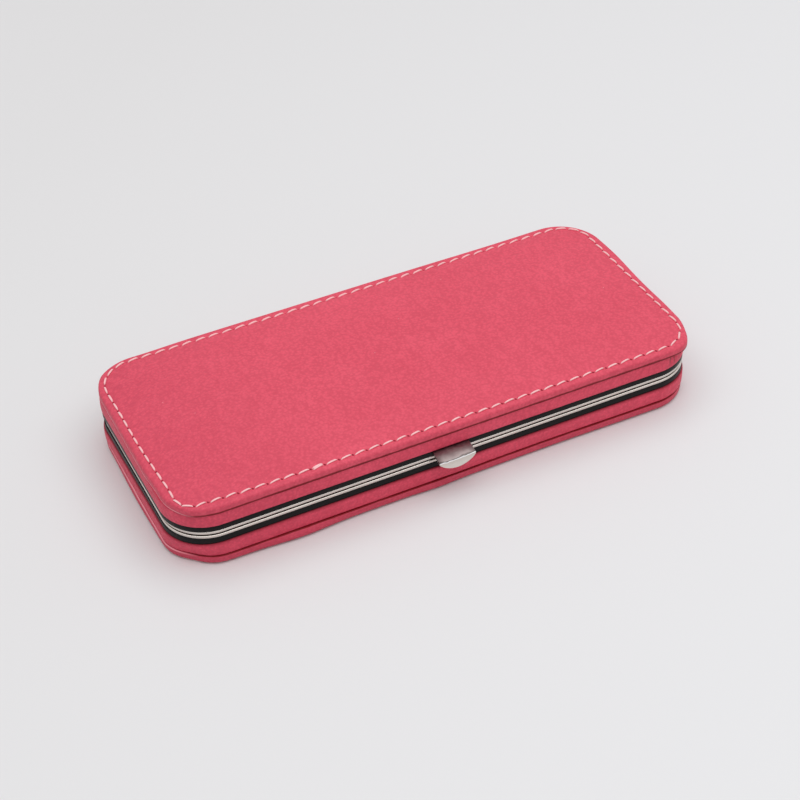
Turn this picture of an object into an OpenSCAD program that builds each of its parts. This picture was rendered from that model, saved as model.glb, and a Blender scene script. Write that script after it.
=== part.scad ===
// Manicure set case: two leather-look halves on slim framed rims, hinged at the
// back and closed by a sprung tab at the front, with a set of steel tools inside.
// Millimetres. Origin at the centre of the underside, +X along the length,
// +Y to the hinge, +Z up. The parting plane between the halves is at mid_z.

/* [Case] */
// Length of the panels
case_l = 150; // [145:1:165]
// Width of the panels, front to back
case_w = 66.6; // [66:0.2:76]
// Outer radius of the panel corners
corner_r = 12.7; // [11:0.1:15]

/* [Layers of a half, outwards from the parting plane] */
// Gap between the two bright rims when closed
rim_gap = 0.5; // [0.3:0.05:0.8]
// Height of the bright rim
rim_h = 0.82; // [0.6:0.02:1.2]
// Height of the black rail
rail_h = 1.85; // [1.6:0.05:2.4]
// Height of the leather side band
band_h = 4.2; // [3.8:0.05:6]
// Rise of the padded top over its edge
lid_crown = 0.9; // [0.5:0.05:1.4]
// Rise of the padded underside over its edge
base_crown = 0.3; // [0.2:0.05:0.5]

/* [Set-backs from the panel edge] */
// Set-back of the side band
band_inset = 0.45; // [0.3:0.05:0.6]
// Set-back of the black rail
rail_inset = 0.7; // [0.65:0.05:0.9]
// Set-back of the bright rim
rim_inset = 0.75; // [0.72:0.01:0.9]
// Set-back of the steel frame
frame_inset = 1.55; // [1.5:0.05:1.7]

/* [Walls] */
// Thickness of the steel frame
frame_t = 0.9; // [0.7:0.05:1.1]
// Thickness of the lining on the side walls
lining_t = 0.6; // [0.4:0.05:0.8]
// Thickness of the padded lining on the floor
lining_floor_t = 0.8; // [0.6:0.05:1.2]
// Thickness of the cover material
leather_t = 0.6; // [0.5:0.05:0.7]
// Thickness of the fibreboard in a panel
board_t = 1.15; // [1:0.05:1.5]
// Width of the cover's turned-in hem
hem_w = 8; // [6:0.5:12]

/* [Hinge] */
// Length of the hinge
hinge_l = 90; // [60:1:110]
// Number of hinge knuckles
knuckles = 7; // [5:2:11]
// Outer radius of the hinge barrel
barrel_r = 1.1; // [1:0.05:1.15]
// Radius of the hinge pin
hinge_pin_r = 0.5; // [0.4:0.05:0.6]
// Distance of the hinge axis behind the panel edge
hinge_out = 0.45; // [0.4:0.05:0.8]
// Thickness of a hinge leaf
leaf_t = 0.45; // [0.3:0.05:0.5]

/* [Latch] */
// Width of the latch tab
tab_w = 10.3; // [9:0.1:12]
// Thickness of the latch tab
tab_t = 0.6; // [0.5:0.05:0.7]
// Reach of the tab in front of the panel edge
tab_reach = 2.9; // [2.4:0.1:4]
// Depth of the tab's down-turned lip at its middle
lip_drop = 2.7; // [2.4:0.1:3.6]
// Radius of the latch's pivot pin
latch_pin_r = 0.4; // [0.35:0.01:0.45]

/* [Tools, cut to the well that holds them] */
// Length of the scissors in lengths of the well
scissors_share = 0.612; // [0.58:0.002:0.62]
// Thickness of one scissor blade
scissor_t = 1.3; // [1.1:0.05:1.5]
// Length of the tweezers in lengths of the well
tweezers_share = 0.654; // [0.61:0.002:0.68]
// Length of the large nail clipper in widths of the well
clipper_share = 0.91; // [0.84:0.005:0.92]
// Length of the small nail clipper in widths of the well
small_clipper_share = 0.811; // [0.74:0.001:0.83]
// Length of the nail file in lengths of the well
file_share = 0.668; // [0.61:0.002:0.72]
// Length of the cuticle pusher in lengths of the well
pusher_share = 0.681; // [0.61:0.001:0.72]
// Thickness of the elastic straps
strap_t = 0.7; // [0.5:0.05:1]
// Width of the elastic straps
strap_w = 11; // [9:0.5:14]

/* [Hidden] */
$fn = 48;

pink = "#DC5A6E";
band_pink = "#C44A5A";
black = "#2A2628";
nickel = "#D8D4CE";
steel = "#B9BBBD";
board_brown = "#8A6B4C";
foam_white = "#ECE8DC";
lining_black = "#3A3438";

// Small clearances
fit_gap = 0.05;      // between a ring and the frame that carries it
run_gap = 0.05;      // radial clearance of a pin in its hole
move_gap = 0.3;      // between pieces that move past each other
eps = 0.01;

// A panel at its edge: the cover, the board and the turned-in hem
board_top = leather_t + board_t;
panel_t = board_top + fit_gap + leather_t;

// Heights above the parting plane, the same in both halves
rim_0 = rim_gap / 2;
rail_0 = rim_0 + rim_h;
band_0 = rail_0 + rail_h;
seam_h = band_0 + band_h;
half_h = seam_h + panel_t;
floor_h = seam_h - lining_floor_t;

// Heights above the surface that the case stands on
mid_z = base_crown + half_h;
base_floor_z = mid_z - floor_h;
lid_floor_z = mid_z + floor_h;

// Set-backs that follow from the walls
frame_in = frame_inset + frame_t;
lining_in = frame_in + fit_gap + lining_t;
well_l = case_l - 2 * lining_in;
well_w = case_w - 2 * lining_in;

// Lengths of the tools
scissors_l = scissors_share * well_l;
tweezers_l = tweezers_share * well_l;
clipper_l = clipper_share * well_w;
small_clipper_l = small_clipper_share * well_w;
file_l = file_share * well_l;
pusher_l = pusher_share * well_l;

// ---- Shapes shared by the layers ----

// Outline of the case at a set-back from the panel edge
module outline(inset) {
    rounded_rect(case_l - 2 * inset, case_w - 2 * inset, corner_r - inset);
}

module rounded_rect(l, w, r) {
    square([l - 2 * r, w], center = true);
    square([l, w - 2 * r], center = true);
    for (x = [-1, 1], y = [-1, 1])
        translate([x * (l / 2 - r), y * (w / 2 - r)]) circle(r);
}

// Ring between two set-backs and two heights
module wall_ring(outer, inner, h0, h1) {
    translate([0, 0, h0]) linear_extrude(h1 - h0) difference() {
        outline(outer);
        outline(inner);
    }
}

// Sweeps a 2D section (x outwards, y up) round a rounded rectangle
module swept_ring(l, w, r) {
    for (k = [0:3]) {
        a = k % 2 == 0 ? l : w;
        b = k % 2 == 0 ? w : l;
        rotate([0, 0, 90 * k]) {
            translate([a / 2, b / 2 - r, 0]) rotate([90, 0, 0])
                linear_extrude(b - 2 * r) children();
            translate([a / 2 - r, b / 2 - r, 0])
                rotate_extrude(angle = 90) translate([r, 0]) children();
        }
    }
}

// A half is drawn with its parting plane at z = 0 and its panel above
module at_lid() translate([0, 0, mid_z]) children();
module at_base() translate([0, 0, mid_z]) mirror([0, 0, 1]) children();

// ---- Panels: stitched cover over foam and board ----

edge_low_r = 0.6;        // lower round of the panel edge
edge_top_r = 0.9;        // upper round of the panel edge
stitch_inset = 1.95;     // stitch line from the panel edge
stitch_dip = 0.1;        // depth that the stitches pull the cover in
field_inset = 2.6;       // where the padded field starts to rise
corner_steps = 10;       // points round each corner
least_r = 2;             // least corner radius of an inner loop

function rect_loop(inset, z) =
    let (r = max(corner_r - inset, least_r))
    [for (c = [0:3], i = [0:corner_steps - 1])
        let (
            a = 90 * (c + i / (corner_steps - 1)),
            x = (case_l / 2 - inset - r) * (c == 0 || c == 3 ? 1 : -1),
            y = (case_w / 2 - inset - r) * (c < 2 ? 1 : -1)
        ) [x + r * cos(a), y + r * sin(a), z]];

// Closed solid through loops of equal length; wrap joins the last loop to the first
module loft(path, wrap_at = -1) {
    n = 4 * corner_steps;
    last = len(path) - 1;
    points = [for (p = path) each rect_loop(p[0], p[1])];
    sides = [for (k = [0:last - 1], i = [0:n - 1])
        if (k != wrap_at)
            let (a = k * n + i, b = k * n + (i + 1) % n)
            each [[a, b, b + n], [a, b + n, a + n]]];
    polyhedron(points, concat(sides, ends(n, last, wrap_at)));
}

// Faces that close a loft. A plain one has a face at each end. A wrapped skin
// has one on each side of the middle and a strip from its last loop to its first.
function ends(n, last, wrap_at) = wrap_at < 0
    ? [[for (i = [n - 1:-1:0]) i], [for (i = [0:n - 1]) last * n + i]]
    : concat(
        [[for (i = [0:n - 1]) wrap_at * n + i]],
        [[for (i = [n - 1:-1:0]) (wrap_at + 1) * n + i]],
        [for (i = [0:n - 1])
            let (a = last * n + i, b = last * n + (i + 1) % n)
            each [[a, b, (i + 1) % n], [a, (i + 1) % n, i]]]
    );

// Set-backs of the loops in the padded field; it is flat within the last one.
// The underside is pressed flat sooner than the top.
lid_steps = [field_inset, 3.4, 4.6, 6.6, 10, 14, 19, 24, 29];
base_steps = [field_inset, 3.4, 4.6, 6.6, 10, 14];

// Height of the field over the panel edge: a quick shoulder, then a slow swell
function field(inset, crown, steps) =
    let (s = (inset - field_inset) / (steps[len(steps) - 1] - field_inset))
    crown * (0.25 * min(1, s * 12) + 0.75 * (1 - pow(1 - s, 2.4)));

// Section of the cover, from its hem round the edge to the middle and back inside
function cover_outside(crown, steps) = concat(
    [[hem_w, 0]],
    [for (a = [270:-30:180]) [edge_low_r * (1 + cos(a)), edge_low_r * (1 + sin(a))]],
    [for (a = [180:-18:90])
        [edge_top_r * (1 + cos(a)), panel_t - edge_top_r * (1 - sin(a))]],
    [[edge_top_r + 0.4, panel_t], [stitch_inset, panel_t - stitch_dip]],
    [for (s = steps) [s, panel_t + field(s, crown, steps)]]
);
function cover_inside(crown, steps) = concat(
    [for (i = [len(steps) - 1:-1:0])
        let (s = steps[i]) [s, panel_t + field(s, crown, steps) - leather_t]],
    [[stitch_inset, board_top + eps], [leather_t, board_top + eps],
        [leather_t, leather_t], [hem_w, leather_t]]
);

module half_cover(crown, steps) {
    outside = cover_outside(crown, steps);
    color(pink) translate([0, 0, seam_h])
        loft(concat(outside, cover_inside(crown, steps)), len(outside) - 1);
}

// Foam pad between the board and the field of the cover
module half_foam(crown, steps) {
    color(foam_white) translate([0, 0, seam_h]) loft(concat(
        [[steps[1], board_top + eps]],
        [for (s = steps) if (s > steps[0])
            [s, panel_t + field(s, crown, steps) - leather_t - eps]]
    ));
}

module half_board() {
    color(board_brown) translate([0, 0, seam_h + leather_t])
        linear_extrude(board_t) outline(leather_t + 2 * fit_gap);
}

// ---- Frame, rail, rim and side band ----

module half_frame() {
    color(steel) wall_ring(frame_inset, frame_in, rim_0 + 0.1, seam_h);
}

// Leather band with rounded edges that stand proud of the rail
module half_side_band() {
    edge_r = 0.35;
    depth = frame_inset - fit_gap - band_inset;
    color(band_pink) translate([0, 0, band_0])
        swept_ring(case_l - 2 * band_inset, case_w - 2 * band_inset, corner_r - band_inset)
        translate([-depth, 0]) band_section(depth, band_h, edge_r);
}

// Upright strip with its two outer edges rounded
module band_section(depth, h, r) {
    intersection() {
        square([depth, h]);
        union() {
            square([depth - r, h]);
            translate([0, r]) square([depth, h - 2 * r]);
            for (y = [r, h - r]) translate([depth - r, y]) circle(r);
        }
    }
}

// Black rail: a strip with softened edges
module half_rail() {
    edge_r = 0.2;
    depth = frame_inset - fit_gap - rail_inset;
    translate([0, 0, rail_0])
        swept_ring(case_l - 2 * rail_inset, case_w - 2 * rail_inset, corner_r - rail_inset)
        translate([-depth, 0]) band_section(depth, rail_h, edge_r);
}

// Bright rim: a half-round bead below the rail
module half_rim() {
    depth = frame_inset - fit_gap - rim_inset;
    translate([0, 0, rim_0])
        swept_ring(case_l - 2 * rim_inset, case_w - 2 * rim_inset, corner_r - rim_inset)
        translate([-depth, 0]) band_section(depth, rim_h, rim_h * 0.45);
}

// Lining: a tray with a padded floor
module half_lining() {
    color(lining_black) difference() {
        translate([0, 0, rim_0 + 0.2]) linear_extrude(seam_h - rim_0 - 0.2)
            outline(frame_in + fit_gap);
        linear_extrude(floor_h) outline(lining_in);
    }
}

// ---- Hinge ----

hinge_y = case_w / 2 + hinge_out;
leaf_back = case_w / 2 - rail_inset;
knuckle_l = hinge_l / knuckles;
knuckle_gap = 0.3;
leaf_top = band_0 - 0.1;
leaf_low = barrel_r + move_gap + 0.1;

// Leaf with every second knuckle: first is 0 for the base and 1 for the lid
module leaf(first) {
    color(nickel) difference() {
        union() {
            translate([-hinge_l / 2, leaf_back + fit_gap, leaf_low])
                cube([hinge_l, leaf_t, leaf_top - leaf_low]);
            for (k = [first:2:knuckles - 1])
                translate([-hinge_l / 2 + k * knuckle_l + knuckle_gap / 2, 0, 0])
                    knuckle(knuckle_l - knuckle_gap);
        }
        translate([-hinge_l / 2 - 1, hinge_y, 0]) rotate([0, 90, 0])
            cylinder(r = hinge_pin_r + run_gap, h = hinge_l + 2);
    }
}

module knuckle(l) {
    translate([0, hinge_y, 0]) rotate([0, 90, 0]) cylinder(r = barrel_r, h = l);
    // web from the leaf down to the barrel
    translate([0, leaf_back + fit_gap, 0.55])
        cube([l, hinge_y - leaf_back - fit_gap - barrel_r * 0.35, leaf_low - 0.55 + eps]);
}

// ---- Latch ----

// Pivot of the tab, behind the front of the lid's frame
latch_y = -case_w / 2 + frame_in + 1.35;
latch_h = band_0 - 0.55;
latch_eye_r = 0.85;
latch_room = 0.15;       // from the eye to the bracket's roof
tab_slope = 14;          // fall of the plate towards its front, degrees
lip_lean = 4;            // lean of the lip from upright, degrees
lip_side_drop = 0.45;    // depth of the lip at its two ends
tab_out = latch_y + case_w / 2 + tab_reach;   // pivot to the plate's front edge
window_w = tab_w + 2 * move_gap;
arm_x = 3.5;             // hook arms, left and right of the middle
arm_w = 2.2;
arm_t = 0.45;
arm_low = 2.3;           // reach of the arms below the parting plane
pip_h = 0.8;
pip_out = 0.4;
coil_w = 4.2;
coil_room_r = 1.15;
coil_r = 0.75;
wire_r = 0.14;
coil_turns = 5;
ear_t = 0.5;
bracket_t = 0.4;
bracket_back = 1.4;      // inner face of the bracket's back from the pivot
bracket_top = 5.2;
keeper_t = 0.35;

module at_latch() at_lid() translate([0, latch_y, latch_h]) children();

// Front opening of the lid's rings, up to a height, which the tab passes through
module latch_window(top) {
    translate([-window_w / 2, -case_w / 2 - 1, -1])
        cube([window_w, frame_in + 2, top + 1]);
}

// Space in the lining of a half round the latch parts, up to a height
module latch_recess(w, top) {
    translate([-w / 2, -case_w / 2, -1]) cube([w, lining_in + 1, top + 1]);
}

// Section of the eye and the sloping plate
module tab_section() {
    circle(latch_eye_r);
    rotate(tab_slope) translate([-tab_out / cos(tab_slope), latch_eye_r - tab_t])
        square([tab_out / cos(tab_slope), tab_t]);
}

// Lip that hangs from the front edge of the plate, with a curved lower edge
module tab_lip() {
    edge_z = (latch_eye_r - tab_t / 2) / cos(tab_slope) - tab_out * tan(tab_slope);
    half_chord = tab_w / 2;
    sagitta = lip_drop - lip_side_drop;
    arc_r = (half_chord * half_chord + sagitta * sagitta) / (2 * sagitta);
    translate([0, -tab_out, edge_z]) rotate([-lip_lean, 0, 0]) {
        translate([0, tab_t / 2, 0]) rotate([90, 0, 0]) linear_extrude(tab_t) intersection() {
            translate([-half_chord, -lip_drop]) square([tab_w, lip_drop]);
            translate([0, arc_r - lip_drop]) circle(arc_r, $fn = 96);
        }
        // round bend between the plate and the lip
        translate([-half_chord, 0, 0]) rotate([0, 90, 0]) cylinder(r = tab_t / 2, h = tab_w);
    }
}

module hook_arm(x) {
    low = -latch_h - arm_low;
    translate([x - arm_w / 2, -arm_t / 2, low]) cube([arm_w, arm_t, -low - latch_eye_r / 2]);
    translate([x - arm_w / 2, -arm_t / 2 - pip_out, low])
        cube([arm_w, arm_t + pip_out, pip_h]);
}

module latch_tab() {
    color(nickel) at_latch() difference() {
        union() {
            translate([-tab_w / 2, 0, 0]) rotate([90, 0, 90]) linear_extrude(tab_w) tab_section();
            tab_lip();
            for (x = [-arm_x, arm_x]) hook_arm(x);
        }
        translate([-tab_w, 0, 0]) rotate([0, 90, 0])
            cylinder(r = latch_pin_r + run_gap, h = 2 * tab_w);
        translate([-coil_w / 2, 0, 0]) rotate([0, 90, 0]) cylinder(r = coil_room_r, h = coil_w);
    }
}

ear_in = tab_w / 2 + 0.15;
ear_out = ear_in + ear_t;

module latch_pin() {
    color(steel) at_latch() translate([-ear_out, 0, 0]) rotate([0, 90, 0])
        cylinder(r = latch_pin_r, h = 2 * ear_out);
}

// Folded bracket: flange on the frame above the opening, roof, back and two ears
module latch_bracket() {
    front = -case_w / 2 + frame_in + fit_gap - latch_y;
    flange_low = latch_eye_r + latch_room;
    top = bracket_top - latch_h;
    low = 0.9 - latch_h;
    depth = bracket_back + bracket_t - front;
    color(steel) at_latch() difference() {
        union() {
            translate([-ear_out, front, flange_low])
                cube([2 * ear_out, bracket_t, top - flange_low]);
            translate([-ear_out, front, flange_low]) cube([2 * ear_out, depth, bracket_t]);
            translate([-ear_out, bracket_back, low])
                cube([2 * ear_out, bracket_t, flange_low - low + bracket_t]);
            for (x = [-ear_out, ear_in])
                translate([x, front, low]) cube([ear_t, depth, flange_low - low + bracket_t]);
        }
        translate([-ear_out - 1, 0, 0]) rotate([0, 90, 0])
            cylinder(r = latch_pin_r + eps, h = 2 * ear_out + 2);
    }
}

// Torsion spring round the pin. Both legs leave the coil at its underside: one to
// the bracket's back and one under the plate.
coil_pitch = (coil_w - 4 * wire_r) / coil_turns;
coil_steps = 10;         // points in one turn

function spring_path() =
    let (half = coil_pitch * coil_turns / 2, steps = coil_steps * coil_turns)
    concat(
        [[-half, bracket_back - 2 * wire_r - fit_gap, -coil_r]],
        [for (i = [0:steps]) let (a = 270 - 360 * i / coil_steps)
            [half * (2 * i / steps - 1), coil_r * cos(a), coil_r * sin(a)]],
        [[half, -1.9, -1.1]]
    );

// Least gap between turns, measured between points at least half a turn apart
function least_gap(path) = min([
    for (i = [0:len(path) - 1], j = [i + coil_steps / 2:1:len(path) - 1])
        norm(path[i] - path[j])]) - 2 * wire_r;
echo(spring_least_gap = least_gap(spring_path()));

function unit(v) = v / norm(v);

// Tube of constant radius along a path, closed at both ends
module tube(path, r, sides) {
    last = len(path) - 1;
    rings = [for (i = [0:last])
        let (
            t = unit(path[min(i + 1, last)] - path[max(i - 1, 0)]),
            u = unit(cross(t, abs(t[0]) < 0.9 ? [1, 0, 0] : [0, 0, 1])),
            v = cross(t, u)
        ) each [for (k = [0:sides - 1])
            let (a = 360 * k / sides) path[i] + r * (cos(a) * u + sin(a) * v)]];
    sides_faces = [for (i = [0:last - 1], k = [0:sides - 1])
        let (a = i * sides + k, b = i * sides + (k + 1) % sides)
        each [[a, a + sides, b + sides], [a, b + sides, b]]];
    polyhedron(rings, concat(
        sides_faces,
        [[for (k = [0:sides - 1]) k]],
        [[for (k = [sides - 1:-1:0]) last * sides + k]]
    ));
}

module latch_spring() color(steel) at_latch() tube(spring_path(), wire_r, 6);

// Plate on the base frame with a slot for each pip
module latch_keeper() {
    w = 2 * (arm_x + arm_w / 2) + 2;
    slot_w = arm_w + 2 * move_gap;
    slot_low = arm_low - pip_h - move_gap;
    color(steel) at_base() difference() {
        translate([-w / 2, -case_w / 2 + frame_in + fit_gap, rim_0 + 0.4])
            cube([w, keeper_t, arm_low + 1]);
        for (x = [-arm_x, arm_x])
            translate([x - slot_w / 2, -case_w / 2 + frame_in, slot_low])
                cube([slot_w, 1, pip_h + 2 * move_gap]);
    }
}

// ---- Scissors: pivot at the origin, blades towards +X ----

seat = 0.05;                 // tools rest this far from the lining
blade_gap = 0.1;
end_room = 2.9;              // from the end of the well to the scissors' rings
scissor_blade_l = 0.341 * scissors_l;
ring_l = 0.25 * scissors_l;
ring_w = 0.285 * well_w;
ring_wire_r = 1.3;
ring_x = -(scissors_l - scissor_blade_l - ring_l / 2);
ring_y = ring_w / 2 + 0.7;
scissor_screw_r = 1.5;
scissor_head_r = 2.4;
scissor_head_t = 0.6;
scissors_at = [-well_l / 2 + end_room + scissors_l - scissor_blade_l, 0.025 * well_w];
scissor_lift = 0.25;

module on_base(at, turn = 0)
    translate([at[0], at[1], base_floor_z + seat]) rotate([0, 0, turn]) children();
module on_lid(at, turn = 0)
    translate([at[0], at[1], lid_floor_z - seat]) mirror([0, 0, 1]) rotate([0, 0, turn]) children();

// Outline of a blade with its shank, handle on the +Y side
module scissor_outline() {
    hull() {
        circle(3.9);
        translate([scissor_blade_l * 0.45, -1.1]) circle(2.1);
        translate([scissor_blade_l - 0.35, 0]) circle(0.35, $fn = 16);
    }
    hull() {
        circle(3.4);
        translate([-14, 2.2]) circle(1.9);
    }
    hull() {
        translate([-14, 2.2]) circle(1.9);
        translate([ring_x + ring_l / 2 - 1, ring_y - 1.6]) circle(1.3, $fn = 32);
    }
}

// One half of the scissors: a flat blade at a height and a round finger ring
module scissor_half(z) {
    ring_z = scissor_t + blade_gap / 2;
    difference() {
        union() {
            translate([0, 0, z]) linear_extrude(scissor_t) difference() {
                scissor_outline();
                translate([ring_x, ring_y])
                    rounded_rect(ring_l - 2 * ring_wire_r, ring_w - 2 * ring_wire_r, 7.2);
            }
            translate([ring_x, ring_y, ring_z])
                swept_ring(ring_l, ring_w, ring_w / 2 - 0.1)
                translate([-ring_wire_r, 0]) circle(ring_wire_r, $fn = 24);
        }
        // ground edge of the blade
        translate([3, 1.6, z - 1]) rotate([0, 0, -2.6]) cube([scissor_blade_l, 5, scissor_t + 2]);
        translate([0, 0, z - 1]) cylinder(r = scissor_screw_r + run_gap, h = scissor_t + 2);
    }
}

module at_scissors() on_base(scissors_at) translate([0, 0, scissor_lift]) children();

module scissor_blade_fixed() color(steel) at_scissors() scissor_half(0);

module scissor_blade_moving()
    color(steel) at_scissors() mirror([0, 1, 0]) scissor_half(scissor_t + blade_gap);

module scissor_screw() {
    top = 2 * scissor_t + blade_gap;
    color(nickel) at_scissors() difference() {
        union() {
            cylinder(r = scissor_screw_r, h = top + blade_gap);
            translate([0, 0, top + blade_gap]) cylinder(r = scissor_head_r, h = scissor_head_t);
        }
        translate([-scissor_head_r - 1, -0.3, top + blade_gap + scissor_head_t / 2])
            cube([2 * scissor_head_r + 2, 0.6, 1]);
    }
}

// ---- Tweezers: lying on their side, tips towards +X ----

tweezers_at = [-well_l / 2 + 2 * end_room, well_w / 2 - 2 * end_room];
tweezer_t = 1;
tweezer_h = 5.4;
tweezer_spread = 2.7;
weld_l = 6;

function tweezer_y(s) = tweezer_t / 2 + 0.4 * s + tweezer_spread * sin(180 * pow(s, 0.75));

// Outline through both arms, at a distance either side of their middle lines
module tweezer_outline(from, to, side) {
    steps = 20;
    xs = [for (i = [0:steps]) from + (to - from) * i / steps];
    edge = [for (x = xs) [x, tweezer_y(x / tweezers_l) + side * tweezer_t / 2]];
    polygon(concat(edge, [for (i = [steps:-1:0]) [edge[i][0], -edge[i][1]]]));
}

module tweezers() {
    tip_low = 0.32 * tweezer_h;
    tip_top = 0.68 * tweezer_h;
    side_room = 4 * tweezer_spread;
    color(steel) on_base(tweezers_at) intersection() {
        // the arms are one strip, welded together at the back
        linear_extrude(tweezer_h) difference() {
            tweezer_outline(0, tweezers_l, 1);
            tweezer_outline(weld_l, tweezers_l, -1);
        }
        rotate([90, 0, 0]) linear_extrude(side_room, center = true) polygon([
            [0, 0.7], [4, 0], [0.6 * tweezers_l, 0], [tweezers_l - 1.6, tip_low],
            [tweezers_l - 0.1, tip_top], [0.6 * tweezers_l, tweezer_h], [4, tweezer_h],
            [0, tweezer_h - 0.7]
        ]);
    }
}

// ---- Nail clippers: back end at the origin, jaws towards +X ----

clipper_t = 1.2;
clipper_w = 12;
small_clipper_w = 10;
clipper_lift = 0.5;          // room for the pin's foot
clipper_rise = 2.4;          // how far the arms spread
clipper_pin_r = 1.1;
pin_back = 9;                // pin from the cutting edge
lever_gap = 0.4;
clipper_side_room = 14.9;    // from the end of the well to the middle of the large one
clipper_apart = 18.5;        // between the middles of the two
clipper_at = [well_l / 2 - clipper_side_room, -well_w / 2 + 2.4];
small_clipper_at = [clipper_at[0] - clipper_apart, -well_w / 2 + 5.2];

function ease(t) = let (s = min(1, max(0, t))) s * s * (3 - 2 * s);

// Height of the underside of each arm at a distance from the back end
function lower_z(x, l) = 1.7 * ease((x - l + 8) / 8);
function upper_z(x, l) =
    clipper_t + 0.05 + clipper_rise * ease((x - 7) / (l - 20))
    - (clipper_rise - 1.1) * ease((x - l + 8) / 8);
function lever_z(x, l) = upper_z(x, l) + clipper_t + lever_gap;

// Thickness of an arm: it thins to an edge at the jaws
function arm_thick(x, l) = clipper_t * (1 - 0.75 * ease((x - l + 6) / 6));

// Side view of an arm, extruded across the width
module arm_side(l, upper) {
    steps = 22;
    xs = [for (i = [0:steps]) l * i / steps];
    bottom = [for (x = xs) [x, upper ? upper_z(x, l) : lower_z(x, l)]];
    top = [for (i = [steps:-1:0])
        let (x = xs[i]) [x, (upper ? upper_z(x, l) : lower_z(x, l)) + arm_thick(x, l)]];
    rotate([90, 0, 0]) linear_extrude(2 * clipper_w, center = true)
        polygon(concat(bottom, top));
}

// Plan of an arm: rounded at the back, wider and hollowed at the jaws
module arm_plan(l, w) {
    back_r = w * 0.36;
    difference() {
        hull() {
            translate([back_r, 0]) circle(back_r);
            translate([l - 12, -w / 2]) square([12, w]);
        }
        translate([l + 16, 0]) circle(17, $fn = 96);
    }
}

module clipper_arm(l, w, upper) {
    difference() {
        intersection() {
            arm_side(l, upper);
            linear_extrude(20) arm_plan(l, w);
        }
        translate([l - pin_back, 0, -1]) cylinder(r = clipper_pin_r + run_gap, h = 12);
        translate([5, 0, -1]) cylinder(r = 1 + eps, h = 12);
    }
}

// Rivet that joins the arms at the back
module arm_rivet() {
    cylinder(r = 1, h = 2 * clipper_t + 0.05);
    translate([0, 0, 2 * clipper_t + 0.05]) cylinder(r = 1.7, h = 0.35);
}

module clipper_arm_lever(l, w) {
    steps = 16;
    back = 9;
    front = l - pin_back + 4;
    xs = [for (i = [0:steps]) back + (front - back) * i / steps];
    difference() {
        intersection() {
            rotate([90, 0, 0]) linear_extrude(2 * clipper_w, center = true) polygon(concat(
                [for (x = xs) [x, lever_z(x, l)]],
                [for (i = [steps:-1:0]) [xs[i], lever_z(xs[i], l) + clipper_t]]
            ));
            linear_extrude(20) hull() {
                translate([back + w * 0.35, 0]) circle(w * 0.35);
                translate([front - w * 0.24, 0]) circle(w * 0.24);
            }
        }
        translate([l - pin_back, 0, 0]) cylinder(r = clipper_pin_r + eps, h = 20);
    }
}

// Pin with a foot below the arms and a head on the lever
module arm_pin(l) {
    top = lever_z(l - pin_back, l) + clipper_t + 0.15;
    translate([l - pin_back, 0, 0]) {
        translate([0, 0, -0.4]) cylinder(r = 1.8, h = 0.35);
        translate([0, 0, -0.05 - eps]) cylinder(r = clipper_pin_r, h = top + 0.05 + eps);
        translate([0, 0, top]) cylinder(r = 1.7, h = 0.45);
    }
}

module at_clipper() on_base(clipper_at, 90) translate([0, 0, clipper_lift]) children();
module at_small_clipper()
    on_base(small_clipper_at, 90) translate([0, 0, clipper_lift]) children();

module clipper_lower_arm() color(steel) at_clipper() clipper_arm(clipper_l, clipper_w, false);
module clipper_upper_arm() color(steel) at_clipper() clipper_arm(clipper_l, clipper_w, true);
module clipper_rivet() color(nickel) at_clipper() translate([5, 0, 0]) arm_rivet();
module clipper_lever() color(steel) at_clipper() clipper_arm_lever(clipper_l, clipper_w);
module clipper_pin() color(nickel) at_clipper() arm_pin(clipper_l);

module small_clipper_lower_arm()
    color(steel) at_small_clipper() clipper_arm(small_clipper_l, small_clipper_w, false);
module small_clipper_upper_arm()
    color(steel) at_small_clipper() clipper_arm(small_clipper_l, small_clipper_w, true);
module small_clipper_rivet() color(nickel) at_small_clipper() translate([5, 0, 0]) arm_rivet();
module small_clipper_lever()
    color(steel) at_small_clipper() clipper_arm_lever(small_clipper_l, small_clipper_w);
module small_clipper_pin() color(nickel) at_small_clipper() arm_pin(small_clipper_l);

// ---- Flat tools in the lid ----

tool_room = 3.9;             // from the end of the well to the lid's tools
file_at = [-well_l / 2 + tool_room, well_w / 6];
pusher_at = [-well_l / 2 + tool_room, -well_w / 6];
handle_l = 0.417 * file_l;
handle_t = 2.4;
file_t = 0.9;
tang_l = 12;
pusher_r = 1.7;

module file_shape() {
    tang_w = 4;
    blade_w = 6.4;
    translate([handle_l - tang_l, -tang_w / 2]) square([tang_l + 3, tang_w]);
    hull() {
        translate([handle_l + 3, 0]) circle(blade_w / 2);
        translate([file_l - 18, 0]) circle(blade_w / 2 - 0.3);
        translate([file_l - 0.5, 0]) circle(0.5, $fn = 16);
    }
}

module file_blade() {
    color(steel) on_lid(file_at) translate([0, 0, (handle_t - file_t) / 2])
        linear_extrude(file_t) file_shape();
}

module file_handle() {
    color(pink) on_lid(file_at) difference() {
        linear_extrude(handle_t) hull() {
            translate([4, 0]) circle(4);
            translate([handle_l - 3.4, 0]) circle(3.4);
        }
        translate([0, 0, (handle_t - file_t) / 2 - eps])
            linear_extrude(file_t + 2 * eps) offset(delta = eps) file_shape();
        translate([5, 0, -1]) cylinder(r = 1.5, h = handle_t + 2);
    }
}

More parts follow.
